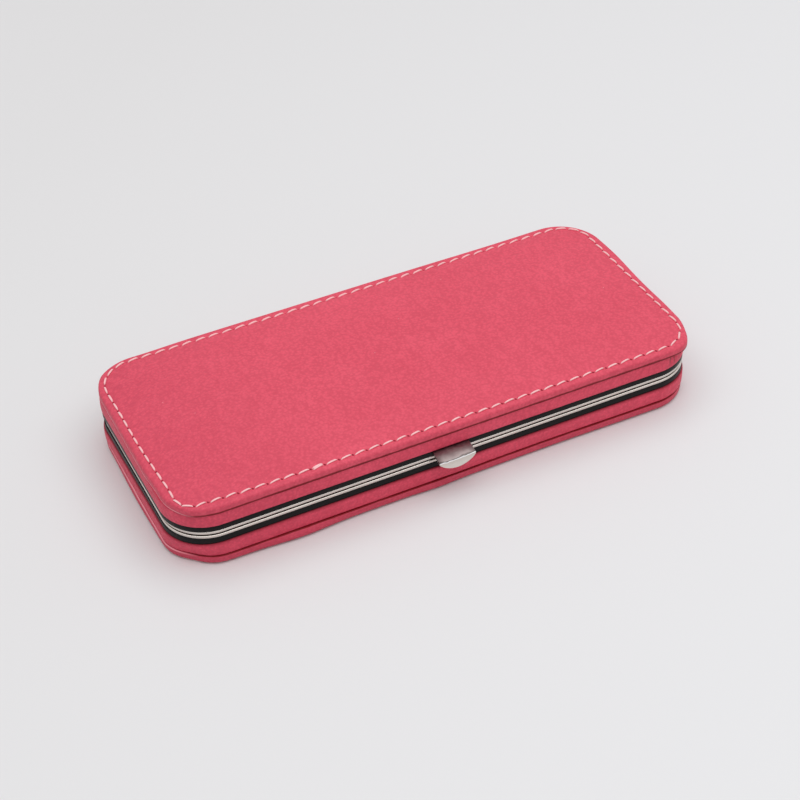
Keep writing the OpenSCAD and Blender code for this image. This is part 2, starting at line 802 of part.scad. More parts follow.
// Round bar with a knurled grip, a flat spade at one end and a point at the other
module cuticle_pusher() {
    spade_l = 12;
    grip_0 = 0.3 * pusher_l;
    grip_1 = 0.66 * pusher_l;
    color(steel) on_lid(pusher_at) translate([0, 0, pusher_r]) {
        rotate([0, 90, 0]) {
            translate([0, 0, spade_l]) cylinder(r1 = 1.1, r2 = pusher_r - 0.3, h = grip_0 - spade_l);
            translate([0, 0, grip_0]) cylinder(r = pusher_r, h = grip_1 - grip_0);
            translate([0, 0, grip_1])
                cylinder(r1 = pusher_r - 0.3, r2 = 0.35, h = pusher_l - grip_1);
        }
        hull() {
            translate([spade_l, 0, 0]) rotate([0, 90, 0]) cylinder(r = 0.9, h = 0.5, $fn = 24);
            translate([2.6, 0, -0.3]) cylinder(r = 2.6, h = 0.6, $fn = 32);
        }
    }
}

// ---- Elastic straps ----

hump_r = 1.4;

// Band across the tools: flat between them and raised over each one.
// humps holds [middle, inner width, inner height] of each loop.
module strap(from, to, humps) {
    translate([0, strap_w / 2, 0]) rotate([90, 0, 0]) linear_extrude(strap_w) difference() {
        union() {
            translate([from, 0]) square([to - from, strap_t]);
            for (h = humps) translate([h[0], 0])
                rounded_rect(h[1] + 2 * strap_t, 2 * (h[2] + strap_t), hump_r + strap_t);
        }
        for (h = humps) translate([h[0], 0]) rounded_rect(h[1], 2 * h[2], hump_r);
        translate([from - 50, -50]) square([to - from + 100, 50]);
    }
}

// Places of the straps: x of the two that run front to back, y of the third
tool_strap_x = scissors_at[0];
clipper_strap_y = 0.1 * well_w;
lid_strap_x = -well_l / 6;
flat_l = 3.2;                // flat end of a strap, past its last hump
rivet_r = 1.3;

tool_humps = [
    [scissors_at[1], 13, scissor_lift + 2 * scissor_t + 2 * blade_gap + scissor_head_t + 0.5],
    [tweezers_at[1], 2 * (tweezer_spread + tweezer_t) + 1.8, tweezer_h + 0.4]
];
clipper_top = clipper_lift + clipper_rise + 3 * clipper_t + lever_gap + 0.05;
clipper_humps = [
    [small_clipper_at[0], small_clipper_w + 3.2, clipper_top + 0.4],
    [clipper_at[0], clipper_w + 3.2, clipper_top + 0.4]
];
lid_humps = [
    [pusher_at[1], 2 * pusher_r + 0.8, 2 * pusher_r + 0.4],
    [file_at[1], 8.8, handle_t + 0.4]
];

// Outer edge of a hump, on its near side (-1) or its far side (1)
function hump_edge(h, side) = h[0] + side * (h[1] / 2 + strap_t);

// Ends of a strap, and the middles of its flat stretches, where its rivets are.
// The tweezers' hump ends at the wall of the well and has no flat end.
function strap_from(humps) = hump_edge(humps[0], -1) - flat_l;
function strap_to(humps) = hump_edge(humps[1], 1) + flat_l;
function flats(humps) = [
    strap_from(humps) + flat_l / 2,
    (hump_edge(humps[0], 1) + hump_edge(humps[1], -1)) / 2,
    strap_to(humps) - flat_l / 2
];

module tool_strap() {
    color(black) on_base([tool_strap_x, 0], 90)
        strap(strap_from(tool_humps), hump_edge(tool_humps[1], 1), tool_humps);
}

module clipper_strap() {
    color(black) on_base([0, clipper_strap_y])
        strap(strap_from(clipper_humps), strap_to(clipper_humps), clipper_humps);
}

module lid_strap() {
    color(black) on_lid([lid_strap_x, 0], 90)
        strap(strap_from(lid_humps), strap_to(lid_humps), lid_humps);
}

// Domed rivet head on a strap
module rivet_head() translate([0, 0, strap_t]) {
    cylinder(r = rivet_r, h = 0.3);
    translate([0, 0, 0.3]) cylinder(r1 = rivet_r, r2 = 0.65 * rivet_r, h = 0.3);
}

rivet_side = 0.27 * strap_w;     // rivets from the middle of a strap

// Rivets through the flat stretches of the base's straps
module strap_rivets() {
    color(nickel) for (side = [-rivet_side, rivet_side]) {
        for (i = [0, 1]) on_base([tool_strap_x + side, flats(tool_humps)[i]]) rivet_head();
        for (x = flats(clipper_humps)) on_base([x, clipper_strap_y + side]) rivet_head();
    }
}

module lid_strap_rivets() {
    color(nickel) for (side = [-rivet_side, rivet_side], y = flats(lid_humps))
        on_lid([lid_strap_x + side, y]) rivet_head();
}

// ---- Parts of the case ----

module base_cover() at_base() half_cover(base_crown, base_steps);
module base_foam() at_base() half_foam(base_crown, base_steps);
module base_board() at_base() half_board();
module base_frame() at_base() half_frame();
module base_side_band() at_base() half_side_band();
module base_rail() color(black) at_base() half_rail();
module base_rim() color(nickel) at_base() half_rim();
module base_lining() {
    color(lining_black) at_base() difference() {
        half_lining();
        latch_recess(2 * (arm_x + arm_w / 2) + 2.8, arm_low + rim_0 + 1.6);
    }
}
module base_hinge_leaf() at_base() leaf(0);

module lid_cover() at_lid() half_cover(lid_crown, lid_steps);
module lid_foam() at_lid() half_foam(lid_crown, lid_steps);
module lid_board() at_lid() half_board();
module lid_side_band() at_lid() half_side_band();
module lid_hinge_leaf() at_lid() leaf(1);
module lid_frame() {
    color(steel) at_lid() difference() {
        half_frame();
        latch_window(latch_h + latch_eye_r);
    }
}
module lid_rail() {
    color(black) at_lid() difference() {
        half_rail();
        latch_window(band_0 - fit_gap);
    }
}
module lid_rim() {
    color(nickel) at_lid() difference() {
        half_rim();
        latch_window(band_0 - fit_gap);
    }
}
module lid_lining() {
    color(lining_black) at_lid() difference() {
        half_lining();
        latch_recess(2 * ear_out + 0.6, bracket_top + 0.2);
    }
}
module hinge_pin() {
    color(steel) at_lid() translate([-hinge_l / 2, hinge_y, 0]) rotate([0, 90, 0])
        cylinder(r = hinge_pin_r, h = hinge_l);
}

base_cover();
base_foam();
base_board();
base_frame();
base_side_band();
base_rail();
base_rim();
base_lining();
base_hinge_leaf();
lid_cover();
lid_foam();
lid_board();
lid_frame();
lid_side_band();
lid_rail();
lid_rim();
lid_lining();
lid_hinge_leaf();
hinge_pin();
latch_tab();
latch_pin();
latch_spring();
latch_bracket();
latch_keeper();
scissor_blade_fixed();
scissor_blade_moving();
scissor_screw();
tweezers();
clipper_lower_arm();
clipper_upper_arm();
clipper_rivet();
clipper_lever();
clipper_pin();
small_clipper_lower_arm();
small_clipper_upper_arm();
small_clipper_rivet();
small_clipper_lever();
small_clipper_pin();
file_blade();
file_handle();
cuticle_pusher();
tool_strap();
clipper_strap();
lid_strap();
strap_rivets();
lid_strap_rivets();
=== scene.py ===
"""Manicure set case in stitched pebbled leather cloth: panels, bands, stitching,
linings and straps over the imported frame, with the finishes of every piece."""
import math
import random
from functools import partial

import bmesh
import bpy
from mathutils import Matrix, Vector, kdtree, noise


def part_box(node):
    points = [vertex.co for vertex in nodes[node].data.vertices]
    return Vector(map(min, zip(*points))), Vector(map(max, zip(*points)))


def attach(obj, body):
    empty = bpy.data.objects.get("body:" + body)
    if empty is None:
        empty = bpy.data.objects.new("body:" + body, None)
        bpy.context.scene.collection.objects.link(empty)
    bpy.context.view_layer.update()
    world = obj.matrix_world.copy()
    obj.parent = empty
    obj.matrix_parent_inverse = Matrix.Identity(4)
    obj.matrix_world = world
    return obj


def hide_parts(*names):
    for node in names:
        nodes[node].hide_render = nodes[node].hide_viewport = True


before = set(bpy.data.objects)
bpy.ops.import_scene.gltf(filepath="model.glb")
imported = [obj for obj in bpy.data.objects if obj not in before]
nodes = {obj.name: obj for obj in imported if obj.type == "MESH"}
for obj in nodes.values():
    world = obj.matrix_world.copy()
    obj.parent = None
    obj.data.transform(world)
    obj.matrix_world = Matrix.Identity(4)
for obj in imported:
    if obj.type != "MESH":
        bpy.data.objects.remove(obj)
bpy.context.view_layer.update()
scene = bpy.context.scene
MM = 0.001

# ---- Sizes, in millimetres, as the frame has them ----

cover_low, cover_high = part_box("lid_cover")
CASE_L = (cover_high.x - cover_low.x) / MM
CASE_W = (cover_high.y - cover_low.y) / MM
CORNER_R = 12.7                            # of the outline
MID_Z = sum(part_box("hinge_pin")[i].z for i in (0, 1)) / 2 / MM
SEAM_H = cover_low.z / MM - MID_Z          # parting plane to the foot of a panel
BAND_H0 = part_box("lid_side_band")[0].z / MM - MID_Z
LEATHER_T = 0.6
BOARD_TOP = 1.76                           # top of the fibreboard over the panel's foot
PANEL_T = 2.4
HEM_W = 8.0                                # of the cloth turned in under the board
STITCH_INSET = 1.95                        # edge to the stitch line
STITCH_PITCH = 3.85
LID_CROWN = cover_high.z / MM - MID_Z - SEAM_H - PANEL_T
BASE_CROWN = MID_Z - SEAM_H - PANEL_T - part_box("base_cover")[0].z / MM
TAB_BEND_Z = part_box("latch_tab")[1].z / MM - 1.95   # where the plate turns into the lip
CORNER_X = CASE_L / 2 - CORNER_R
CORNER_Y = CASE_W / 2 - CORNER_R


# ---- Camera ----

def place_camera():
    """Camera fitted to the photograph's edges and seams."""
    azimuth, elevation, roll = (math.radians(a) for a in (-24.36, 39.54, -2.49))
    back = Vector((math.sin(azimuth) * math.cos(elevation),
                   -math.cos(azimuth) * math.cos(elevation), math.sin(elevation)))
    right = Vector((math.cos(azimuth), math.sin(azimuth), 0))
    up = back.cross(right)
    distance, focal_pixels, picture_pixels = 505, 1860, 800
    # the last three terms are the point that the picture is centred on
    spot = back * distance + right * 1.0 + up * 2.02 + Vector((0, 0, 1.05))
    across = right * math.cos(roll) + up * math.sin(roll)
    above = up * math.cos(roll) - right * math.sin(roll)
    data = bpy.data.cameras.new("camera")
    data.sensor_width = 36
    data.lens = focal_pixels * data.sensor_width / picture_pixels
    data.clip_start = 0.01
    camera = bpy.data.objects.new("camera", data)
    scene.collection.objects.link(camera)
    turn = Matrix((across, above, back)).transposed().to_4x4()
    camera.matrix_world = Matrix.Translation(spot * MM) @ turn
    scene.camera = camera


place_camera()


# ---- Materials ----

MIX_A, MIX_B = 6, 7                        # sockets of a Mix node's two colours
NOISE_SPAN = {"From Min": 0.3, "From Max": 0.7}    # a noise mostly keeps between these


def linear(code):
    """sRGB hex to the linear colour that the shaders take."""
    values = [int(code[i:i + 2], 16) / 255 for i in (1, 3, 5)]
    return (*[v / 12.92 if v <= 0.04045 else ((v + 0.055) / 1.055) ** 2.4 for v in values], 1)


def source_of(value):
    """A node stands for the first of its outputs that is in use."""
    if isinstance(value, bpy.types.Node):
        return next(socket for socket in value.outputs if socket.enabled)
    return value


def add_node(material, kind, inputs=(), **settings):
    """Adds a node with its settings. An input takes a number, a hex colour, or a link from
    a socket or a node."""
    made = material.node_tree.nodes.new("ShaderNode" + kind)
    for name, value in settings.items():
        setattr(made, name, value)
    for name, value in dict(inputs).items():
        value = source_of(value)
        if isinstance(value, bpy.types.NodeSocket):
            material.node_tree.links.new(value, made.inputs[name])
        else:
            made.inputs[name].default_value = linear(value) if isinstance(value, str) else value
    return made


def surface(name, colour, roughness, **values):
    """A material, its shader and the function that adds its nodes. values are the
    shader's own sockets."""
    material = bpy.data.materials.new(name)
    material.use_nodes = True
    shader = material.node_tree.nodes["Principled BSDF"]
    shader.inputs["Base Color"].default_value = linear(colour)
    shader.inputs["Roughness"].default_value = roughness
    for socket, value in values.items():
        shader.inputs[socket.replace("_", " ")].default_value = value
    return material, shader, partial(add_node, material)


def join(material, shader, **sources):
    """Links nodes to the shader's sockets, which gives the finished material."""
    for socket, source in sources.items():
        material.node_tree.links.new(source_of(source),
                                     shader.inputs[socket.replace("_", " ")])
    return material


def leather_grain(add, place):
    """Height of the leather cloth's embossing, and the finest grit of it alone."""
    drift = add("TexNoise", {"Vector": place, "Scale": 420, "Detail": 2, "Roughness": 0.5})
    small = add("VectorMath", {0: drift.outputs["Color"], "Scale": 0.9 * MM}, operation="SCALE")
    bent = add("VectorMath", {0: place, 1: small}, operation="ADD")
    pebble = add("TexVoronoi", {"Vector": bent, "Scale": 1250, "Smoothness": 0.6},
                 feature="SMOOTH_F1")
    grit = add("TexNoise", {"Vector": place, "Scale": 1900, "Detail": 3, "Roughness": 0.65})
    # creases of the print, 1.5 to 3 mm apart, mostly across the case
    drawn = add("Mapping", {"Vector": place, "Scale": (1.0, 0.42, 0.5)})
    crease = add("TexNoise", {"Vector": drawn, "Scale": 520, "Detail": 3, "Roughness": 0.6,
                              "Distortion": 0.5})
    pebbled = add("Math", {0: pebble, 1: -0.75}, operation="MULTIPLY")
    gritted = add("Math", {0: grit, 1: 0.75, 2: pebbled}, operation="MULTIPLY_ADD")
    height = add("Math", {0: crease, 1: 0.7, 2: gritted}, operation="MULTIPLY_ADD")
    return height, grit


def shaded_left_end(add, place, along, under):
    """The left end: fine slanting wrinkles, and painted shade that deepens towards the left end
    and lies in the wrinkles' creases.
    """
    left_end_shade_share = add("MapRange", {"Value": along, "From Min": -74 * MM, "From Max": -28 * MM,
                               "To Min": 1.0, "To Max": 0.0})
    slant = add("Mapping", {"Vector": place, "Rotation": (0, 0, math.radians(33)),
                            "Scale": (2.4, 1.0, 1.0)}, vector_type="TEXTURE")
    wrinkle = add("TexNoise", {"Vector": slant, "Scale": 1600, "Detail": 3, "Roughness": 0.6,
                               "Distortion": 0.5})
    folds = add("MapRange", {"Value": wrinkle, "From Min": 0.34, "From Max": 0.62, "To Min": 0.62,
                             "To Max": 0.04})
    wrinkle_shade = add("Math", {0: left_end_shade_share, 1: folds}, operation="MULTIPLY")
    return add("Mix", {"Factor": wrinkle_shade, MIX_A: under, MIX_B: "#C03E57"}, data_type="RGBA")


def seam_shade_and_highlight(add, place, axes, under, seam, toward, shade_w):
    """Painted shade along a seam: a dark line in the crevice, which wanders along the seam. At
    the left end it gives way to a painted highlight, a pale line on the folded edge."""
    off = add("Math", {0: axes.outputs["Z"], 1: seam * MM}, operation="SUBTRACT")
    waver = add("TexNoise", {"Vector": place, "Scale": 260, "Detail": 3, "Roughness": 0.6})
    reach = add("MapRange", {"Value": waver, "From Min": 0.35, "From Max": 0.65,
                             "To Min": shade_w * MM * 0.8, "To Max": shade_w * MM * 1.3})
    away = add("Math", {0: off}, operation="ABSOLUTE")
    edge = add("MapRange", {"Value": away, "From Min": shade_w * MM * 0.6, "From Max": reach,
                            "To Min": 1.0, "To Max": 0.0})
    at_left = add("MapRange", {"Value": axes.outputs["X"], "From Min": -73.5 * MM,
                               "From Max": -69 * MM, "To Min": 1.0, "To Max": 0.0})
    kept = add("Math", {0: at_left, 1: -0.85, 2: 1.0}, operation="MULTIPLY_ADD")
    dark = add("Math", {0: edge, 1: kept}, operation="MULTIPLY")
    # painted shade: a dark line in the seam's crevice
    with_seam_shade = add("Mix", {"Factor": dark, MIX_A: under, MIX_B: "#7A000C"}, data_type="RGBA")
    ridge = add("Math", {0: off, 1: toward * 0.3 * MM}, operation="SUBTRACT")
    near = add("Math", {0: ridge}, operation="ABSOLUTE")
    line = add("MapRange", {"Value": near, "From Min": 0.14 * MM, "From Max": 0.28 * MM,
                            "To Min": 0.85, "To Max": 0.0})
    # painted highlight: a pale line on the folded edge at the left end
    edge_highlight = add("Math", {0: line, 1: at_left}, operation="MULTIPLY")
    return add("Mix", {"Factor": edge_highlight, MIX_A: with_seam_shade, MIX_B: "#FFA2AE"}, data_type="RGBA")


def leather_cloth(name, colour, deep, pale, seam, toward, shade_w, rough=0.5):
    """Polyurethane leather cloth, embossed with a fine pebble of about 0.8 mm. The film
    has a low gloss, and the grain's valleys get a faint painted shade. Round the seam, whose
    height is given, the folded edge gets a dark line of painted shade, as wide as the given width
    in millimetres, and at the left end a painted highlight on the side that toward gives (1 up,
    -1 down)."""
    material, shader, add = surface(name, colour, rough, IOR=1.49, Specular_IOR_Level=0.27)
    place = add("TexCoord").outputs["Object"]
    axes = add("SeparateXYZ", {"Vector": place})
    height, grit = leather_grain(add, place)
    bump = add("Bump", {"Height": height, "Strength": 0.5, "Distance": 0.17 * MM})
    # soft unevenness of the colour, 8 to 20 mm across
    cloud = add("TexNoise", {"Vector": place, "Scale": 60, "Detail": 5, "Roughness": 0.6})
    tone = add("ValToRGB", {"Fac": cloud})
    for element, position, code in zip(tone.color_ramp.elements, (0.3, 0.7), (deep, pale)):
        element.position, element.color = position, linear(code)
    # painted shade: the grain's valleys are darkened
    valley_shade = add("MapRange", {"Value": height, "From Min": 0.2, "From Max": 0.62, "To Min": 0.32,
                              "To Max": 0.0})
    with_valley_shade = add("Mix", {"Factor": valley_shade, MIX_A: tone, MIX_B: "#A8263C"}, data_type="RGBA")
    # painted shade towards the left end and in its wrinkles
    with_left_end_shade = shaded_left_end(add, place, axes.outputs["X"], with_valley_shade)
    # painted shade along the seam, and a painted highlight on its edge at the left end
    edged = seam_shade_and_highlight(add, place, axes, with_left_end_shade, seam, toward, shade_w)
    # a band's mesh says how much painted shade each place gets, in a deep pleat or under the rail
    pleat_and_rail_shade = add("Attribute", attribute_name="pleat_and_rail_shade")
    with_pleat_shade = add("Mix", {"Factor": pleat_and_rail_shade.outputs["Fac"], MIX_A: edged, MIX_B: "#7C1020"},
                  data_type="RGBA")
    # painted glints: pale specks, 0.15 to 0.3 mm wide and about 9 mm apart
    glint_cells = add("TexVoronoi", {"Vector": place, "Scale": 110})
    glint_share = add("MapRange", {"Value": glint_cells, "From Min": 0.008, "From Max": 0.016, "To Min": 0.55,
                             "To Max": 0.0})
    shown = add("Mix", {"Factor": glint_share, MIX_A: with_pleat_shade, MIX_B: "#FFD9DC"}, data_type="RGBA")
    gloss = add("MapRange", {"Value": grit, **NOISE_SPAN,
                             "To Min": rough - 0.09, "To Max": rough + 0.09})
    return join(material, shader, Base_Color=shown, Roughness=gloss, Normal=bump)


def sewing_thread():
    """Bonded polyester sewing thread, three plies twisted: pale pink and soft. Its twist
    shows as slanting grooves, 0.13 mm apart along the thread."""
    material, shader, add = surface("bonded_polyester_thread", "#FFC9C9", 0.6, IOR=1.5,
                                    Sheen_Weight=0.2)
    place = add("UVMap").outputs["UV"]
    twist = add("TexWave", {"Vector": place, "Scale": 2.4, "Distortion": 0.4}, wave_type="BANDS",
                bands_direction="DIAGONAL").outputs["Fac"]
    shade = add("Mix", {"Factor": twist, MIX_A: "#FFAFB6", MIX_B: "#FFD0D1"}, data_type="RGBA")
    bump = add("Bump", {"Height": twist, "Strength": 0.4, "Distance": 0.04 * MM})
    return join(material, shader, Base_Color=shade, Normal=bump)


def mottled(name, colour, rough, dark, pale, grain, **values):
    """A plain material of two close tones, in a pattern that grain gives."""
    material, shader, add = surface(name, colour, rough, **values)
    place = add("TexCoord").outputs["Object"]
    fleck = add("TexNoise", {"Vector": place, **grain})
    tone = add("Mix", {"Factor": fleck, MIX_A: dark, MIX_B: pale}, data_type="RGBA")
    return join(material, shader, Base_Color=tone)


def black_lacquer():
    """Stove enamel on steel strip: near black, glossy, with a faint orange peel."""
    material, shader, add = surface("black_stove_enamel", "#121011", 0.36, IOR=1.5,
                                    Specular_IOR_Level=0.14)
    place = add("TexCoord").outputs["Object"]
    peel = add("TexNoise", {"Vector": place, "Scale": 900, "Detail": 2})
    smear = add("TexNoise", {"Vector": place, "Scale": 160, "Detail": 3})
    bump = add("Bump", {"Height": peel, "Strength": 0.12, "Distance": 0.04 * MM})
    gloss = add("MapRange", {"Value": smear, **NOISE_SPAN, "To Min": 0.3, "To Max": 0.44})
    return join(material, shader, Roughness=gloss, Normal=bump)


def drawn_metal(name, colour, dark, rough, grain, fine, depth):
    """Metal with lines from drawing or brushing, stretched along one axis of the piece.
    grain is how many times finer the lines are across than along, on each axis."""
    material, shader, add = surface(name, colour, rough, Metallic=1.0)
    place = add("TexCoord").outputs["Object"]
    drawn = add("Mapping", {"Vector": place, "Scale": grain})
    lines = add("TexNoise", {"Vector": drawn, "Scale": fine, "Detail": 4, "Roughness": 0.65})
    stain = add("TexNoise", {"Vector": place, "Scale": 130, "Detail": 3})
    tone = add("Mix", {"Factor": stain, MIX_A: colour, MIX_B: dark}, data_type="RGBA")
    gloss = add("MapRange", {"Value": lines, **NOISE_SPAN,
                             "To Min": rough * 0.75, "To Max": rough * 1.35})
    bump = add("Bump", {"Height": lines, "Strength": depth, "Distance": 0.02 * MM})
    return join(material, shader, Base_Color=tone, Roughness=gloss, Normal=bump)


def pressed_nickel_tab():
    """Nickel-plated brass, pressed and rolled over, the plate fine brushed. Its colour paints the
    reflections by height: the lip light, a painted highlight along the wavy bend with a dark line
    above it, and the plate grey, going dark red at the top where it mirrors the pink band."""
    material, shader, add = surface("pressed_nickel_tab", "#D8D4CF", 0.24, Metallic=1.0)
    place = add("TexCoord").outputs["Object"]
    axes = add("SeparateXYZ", {"Vector": place})
    drawn = add("Mapping", {"Vector": place, "Scale": (1, 9, 9)})
    lines = add("TexNoise", {"Vector": drawn, "Scale": 900, "Detail": 3, "Roughness": 0.6})
    wave = add("TexNoise", {"Vector": place, "Scale": 420, "Detail": 2})
    bend = add("Math", {0: wave, 1: 0.9 * MM, 2: axes.outputs["Z"]}, operation="MULTIPLY_ADD")
    height = add("MapRange", {"Value": bend, "From Min": (TAB_BEND_Z - 1.2) * MM,
                              "From Max": (TAB_BEND_Z + 1.8) * MM})
    # painted reflections and highlight, from the lip's foot, over the bright bend and the dark
    # line on it, up the plate
    tone = add("ValToRGB", {"Fac": height})
    ramp = tone.color_ramp
    ramp.elements[0].position, ramp.elements[0].color = 0.0, linear("#E4DED6")
    ramp.elements[1].position, ramp.elements[1].color = 1.0, linear("#4A2A30")
    for position, code in ((0.43, "#D8D1C9"), (0.50, "#FFFFFF"), (0.56, "#FFFFFF"),
                           (0.60, "#3E3937"), (0.65, "#A09896"), (0.78, "#8A8080"),
                           (0.88, "#7A6064")):
        ramp.elements.new(position).color = linear(code)
    # painted reflection: the plate's two lower corners are darkened to a dark brown
    side = add("Math", {0: axes.outputs["X"]}, operation="ABSOLUTE")
    corner = add("MapRange", {"Value": side, "From Min": 3.6 * MM, "From Max": 4.9 * MM,
                              "To Min": 0.0, "To Max": 0.7})
    above = add("MapRange", {"Value": height, "From Min": 0.57, "From Max": 0.61})
    below = add("MapRange", {"Value": height, "From Min": 0.66, "From Max": 0.86, "To Min": 1.0,
                             "To Max": 0.25})
    low = add("Math", {0: above, 1: below}, operation="MULTIPLY")
    corner_reflection = add("Math", {0: corner, 1: low}, operation="MULTIPLY")
    darker = add("Mix", {"Factor": corner_reflection, MIX_A: tone, MIX_B: "#3A2A28"}, data_type="RGBA")
    stain = add("MapRange", {"Value": lines, **NOISE_SPAN, "To Min": 0.12, "To Max": 0.0})
    dull = add("Mix", {"Factor": stain, MIX_A: darker, MIX_B: "#5F5A58"}, data_type="RGBA")
    gloss = add("MapRange", {"Value": lines, **NOISE_SPAN, "To Min": 0.3, "To Max": 0.46})
    bump = add("Bump", {"Height": wave, "Strength": 0.35, "Distance": 0.12 * MM})
    return join(material, shader, Base_Color=dull, Roughness=gloss, Normal=bump)


def flocked_lining():
    """Flocked card: short black velvet pile that scatters light at a low angle."""
    material, shader, add = surface("flocked_card", "#1F1A1D", 0.95, Sheen_Weight=0.6,
                                    Sheen_Roughness=0.4)
    place = add("TexCoord").outputs["Object"]
    pile = add("TexNoise", {"Vector": place, "Scale": 5200, "Detail": 2})
    nap = add("TexNoise", {"Vector": place, "Scale": 70, "Detail": 5, "Distortion": 0.6})
    tone = add("Mix", {"Factor": nap, MIX_A: "#151113", MIX_B: "#2E282B"}, data_type="RGBA")
    bump = add("Bump", {"Height": pile, "Strength": 0.7, "Distance": 0.12 * MM})
    return join(material, shader, Base_Color=tone, Normal=bump)


def woven_elastic():
    """Woven elastic: black warp cords 1.4 mm apart, tied by a weft every 1 mm. Both are
    drawn coarser than real ones, which are too fine to show."""
    material, shader, add = surface("woven_elastic", "#1C191B", 0.8, Sheen_Weight=0.3)
    place = add("TexCoord").outputs["Object"]
    cords, picks = (add("TexWave", {"Vector": place, "Scale": scale, "Distortion": 0.2},
                        wave_type="BANDS", bands_direction=way).outputs["Fac"]
                    for scale, way in ((230, "X"), (320, "Y")))
    cloth = add("Math", {0: cords, 1: picks}, operation="MULTIPLY")
    tone = add("Mix", {"Factor": cloth, MIX_A: "#0E0C0D", MIX_B: "#332F31"}, data_type="RGBA")
    bump = add("Bump", {"Height": cloth, "Strength": 0.8, "Distance": 0.2 * MM})
    return join(material, shader, Base_Color=tone, Normal=bump)


def file_cut():
    """Nickelled steel file: a cross cut of teeth, bright on the crests. They are drawn
    0.9 mm apart, coarser than real ones, so that they show."""
    material, shader, add = surface("cross_cut_file_steel", "#B9B8B6", 0.3, Metallic=1.0)
    place = add("TexCoord").outputs["Object"]
    cuts = []
    for angle in (35, -35):
        turned = add("Mapping", {"Vector": place, "Rotation": (0, 0, math.radians(angle))})
        cuts.append(add("TexWave", {"Vector": turned, "Scale": 350},
                        bands_direction="X").outputs["Fac"])
    teeth = add("Math", {0: cuts[0], 1: cuts[1]}, operation="MULTIPLY")
    tone = add("Mix", {"Factor": teeth, MIX_A: "#77767A", MIX_B: "#D6D5D2"}, data_type="RGBA")
    bump = add("Bump", {"Height": teeth, "Strength": 0.9, "Distance": 0.12 * MM})
    return join(material, shader, Base_Color=tone, Normal=bump)


LID_SEAM, BASE_SEAM = MID_Z + SEAM_H, MID_Z - SEAM_H
lid_leather = leather_cloth("embossed_leather_cloth_lid", "#E45369", "#E25167", "#E8576D",
                            LID_SEAM, 1, 0.75)
# painted shade: the base panel's cloth is the lid's, made darker for the shade near the floor
base_leather_painted_shade = leather_cloth("embossed_leather_cloth_base_painted_shade", "#D44C62", "#D0485E", "#DA5067",
                             BASE_SEAM, -1, 0.2)
# painted light and shade: the bands are the panels' cloth, in a tone set for how the light falls
# on the walls
lid_band_leather_painted_light = leather_cloth("embossed_leather_lid_band_painted_light", "#EB5069", "#E54C64",
                                 "#F0566F", LID_SEAM, 1, 0.4, 0.54)
base_band_leather_painted_light = leather_cloth("embossed_leather_base_band_painted_light", "#EB5069", "#E54C64",
                                  "#F0566F", BASE_SEAM, -1, 0.2, 0.54)
thread = sewing_thread()
# Painted shade inside a needle hole: dark red, deep and dull
hole_shade_finish = mottled("needle_hole_painted_shade", "#7E1024", 0.9, "#7A1022", "#A02036",
                    {"Scale": 5000})
# Pressed fibreboard: brown, matt, with flecks of fibre
board = mottled("pressed_fibreboard", "#8A6B4C", 0.85, "#6F5238", "#A88560",
                {"Scale": 900, "Detail": 5, "Distortion": 1.2})
# Injection-moulded ABS grip of the file: glossy, coloured to match the case
grip = mottled("moulded_abs_grip", "#D8566C", 0.22, "#CF4C63", "#E0667A",
               {"Scale": 120, "Detail": 2, "Distortion": 1.5}, IOR=1.54, Coat_Weight=0.2)
enamel = black_lacquer()
tab_metal = pressed_nickel_tab()
rim_metal = drawn_metal("bright_nickel_strip", "#DDD5CE", "#CBC3BC", 0.24, (1, 1, 12), 300, 0.06)
frame_steel = drawn_metal("zinc_plated_steel", "#A9ABAD", "#86888B", 0.42, (1, 1, 10), 400, 0.3)
tool_steel = drawn_metal("satin_stainless_steel", "#C9CACB", "#A3A5A7", 0.27,
                         (1, 12, 12), 600, 0.35)
cross_steel = drawn_metal("satin_stainless_steel_across", "#C9CACB", "#A3A5A7", 0.27,
                          (12, 1, 12), 600, 0.35)
polished = drawn_metal("polished_nickel_heads", "#DEDAD4", "#C3BEB7", 0.14, (1, 1, 1), 800, 0.1)
spring_wire = drawn_metal("drawn_spring_wire", "#A6A7A9", "#77797C", 0.3, (1, 1, 1), 2500, 0.3)
flock = flocked_lining()
elastic = woven_elastic()
file_steel = file_cut()


def dress(material, *names):
    """Gives a CAD node its finish."""
    for name in names:
        for slot in nodes[name].material_slots:
            slot.material = material


dress(tab_metal, "latch_tab")
dress(frame_steel, "lid_frame", "base_frame", "latch_bracket", "latch_keeper", "latch_pin")
dress(polished, "hinge_pin", "lid_hinge_leaf", "base_hinge_leaf", "scissor_screw",
      "clipper_pin", "clipper_rivet", "small_clipper_pin", "small_clipper_rivet",
      "strap_rivets", "lid_strap_rivets")
dress(spring_wire, "latch_spring")
dress(tool_steel, "scissor_blade_fixed", "scissor_blade_moving", "tweezers", "cuticle_pusher")
dress(cross_steel, "clipper_lower_arm", "clipper_upper_arm", "clipper_lever",
      "small_clipper_lower_arm", "small_clipper_upper_arm", "small_clipper_lever")
dress(file_steel, "file_blade")
dress(grip, "file_handle")


# ---- Shapes shared by the leather pieces ----

def unit(value):
    """Holds a value between 0 and 1."""
    return min(max(value, 0), 1)


def leave_edit():
    bpy.ops.object.mode_set(mode="OBJECT")


def deselect():
    """Leaves edit mode with nothing selected."""
    if bpy.context.object and bpy.context.object.mode != "OBJECT":
        leave_edit()
    bpy.ops.object.select_all(action="DESELECT")


def pick(piece):
    """Makes a piece the active one and the only one selected."""
    deselect()
    piece.select_set(True)
    bpy.context.view_layer.objects.active = piece


def edit_all(piece):
    """Enters edit mode with the whole piece selected."""
    pick(piece)
    bpy.ops.object.mode_set(mode="EDIT")
    bpy.ops.mesh.select_all(action="SELECT")


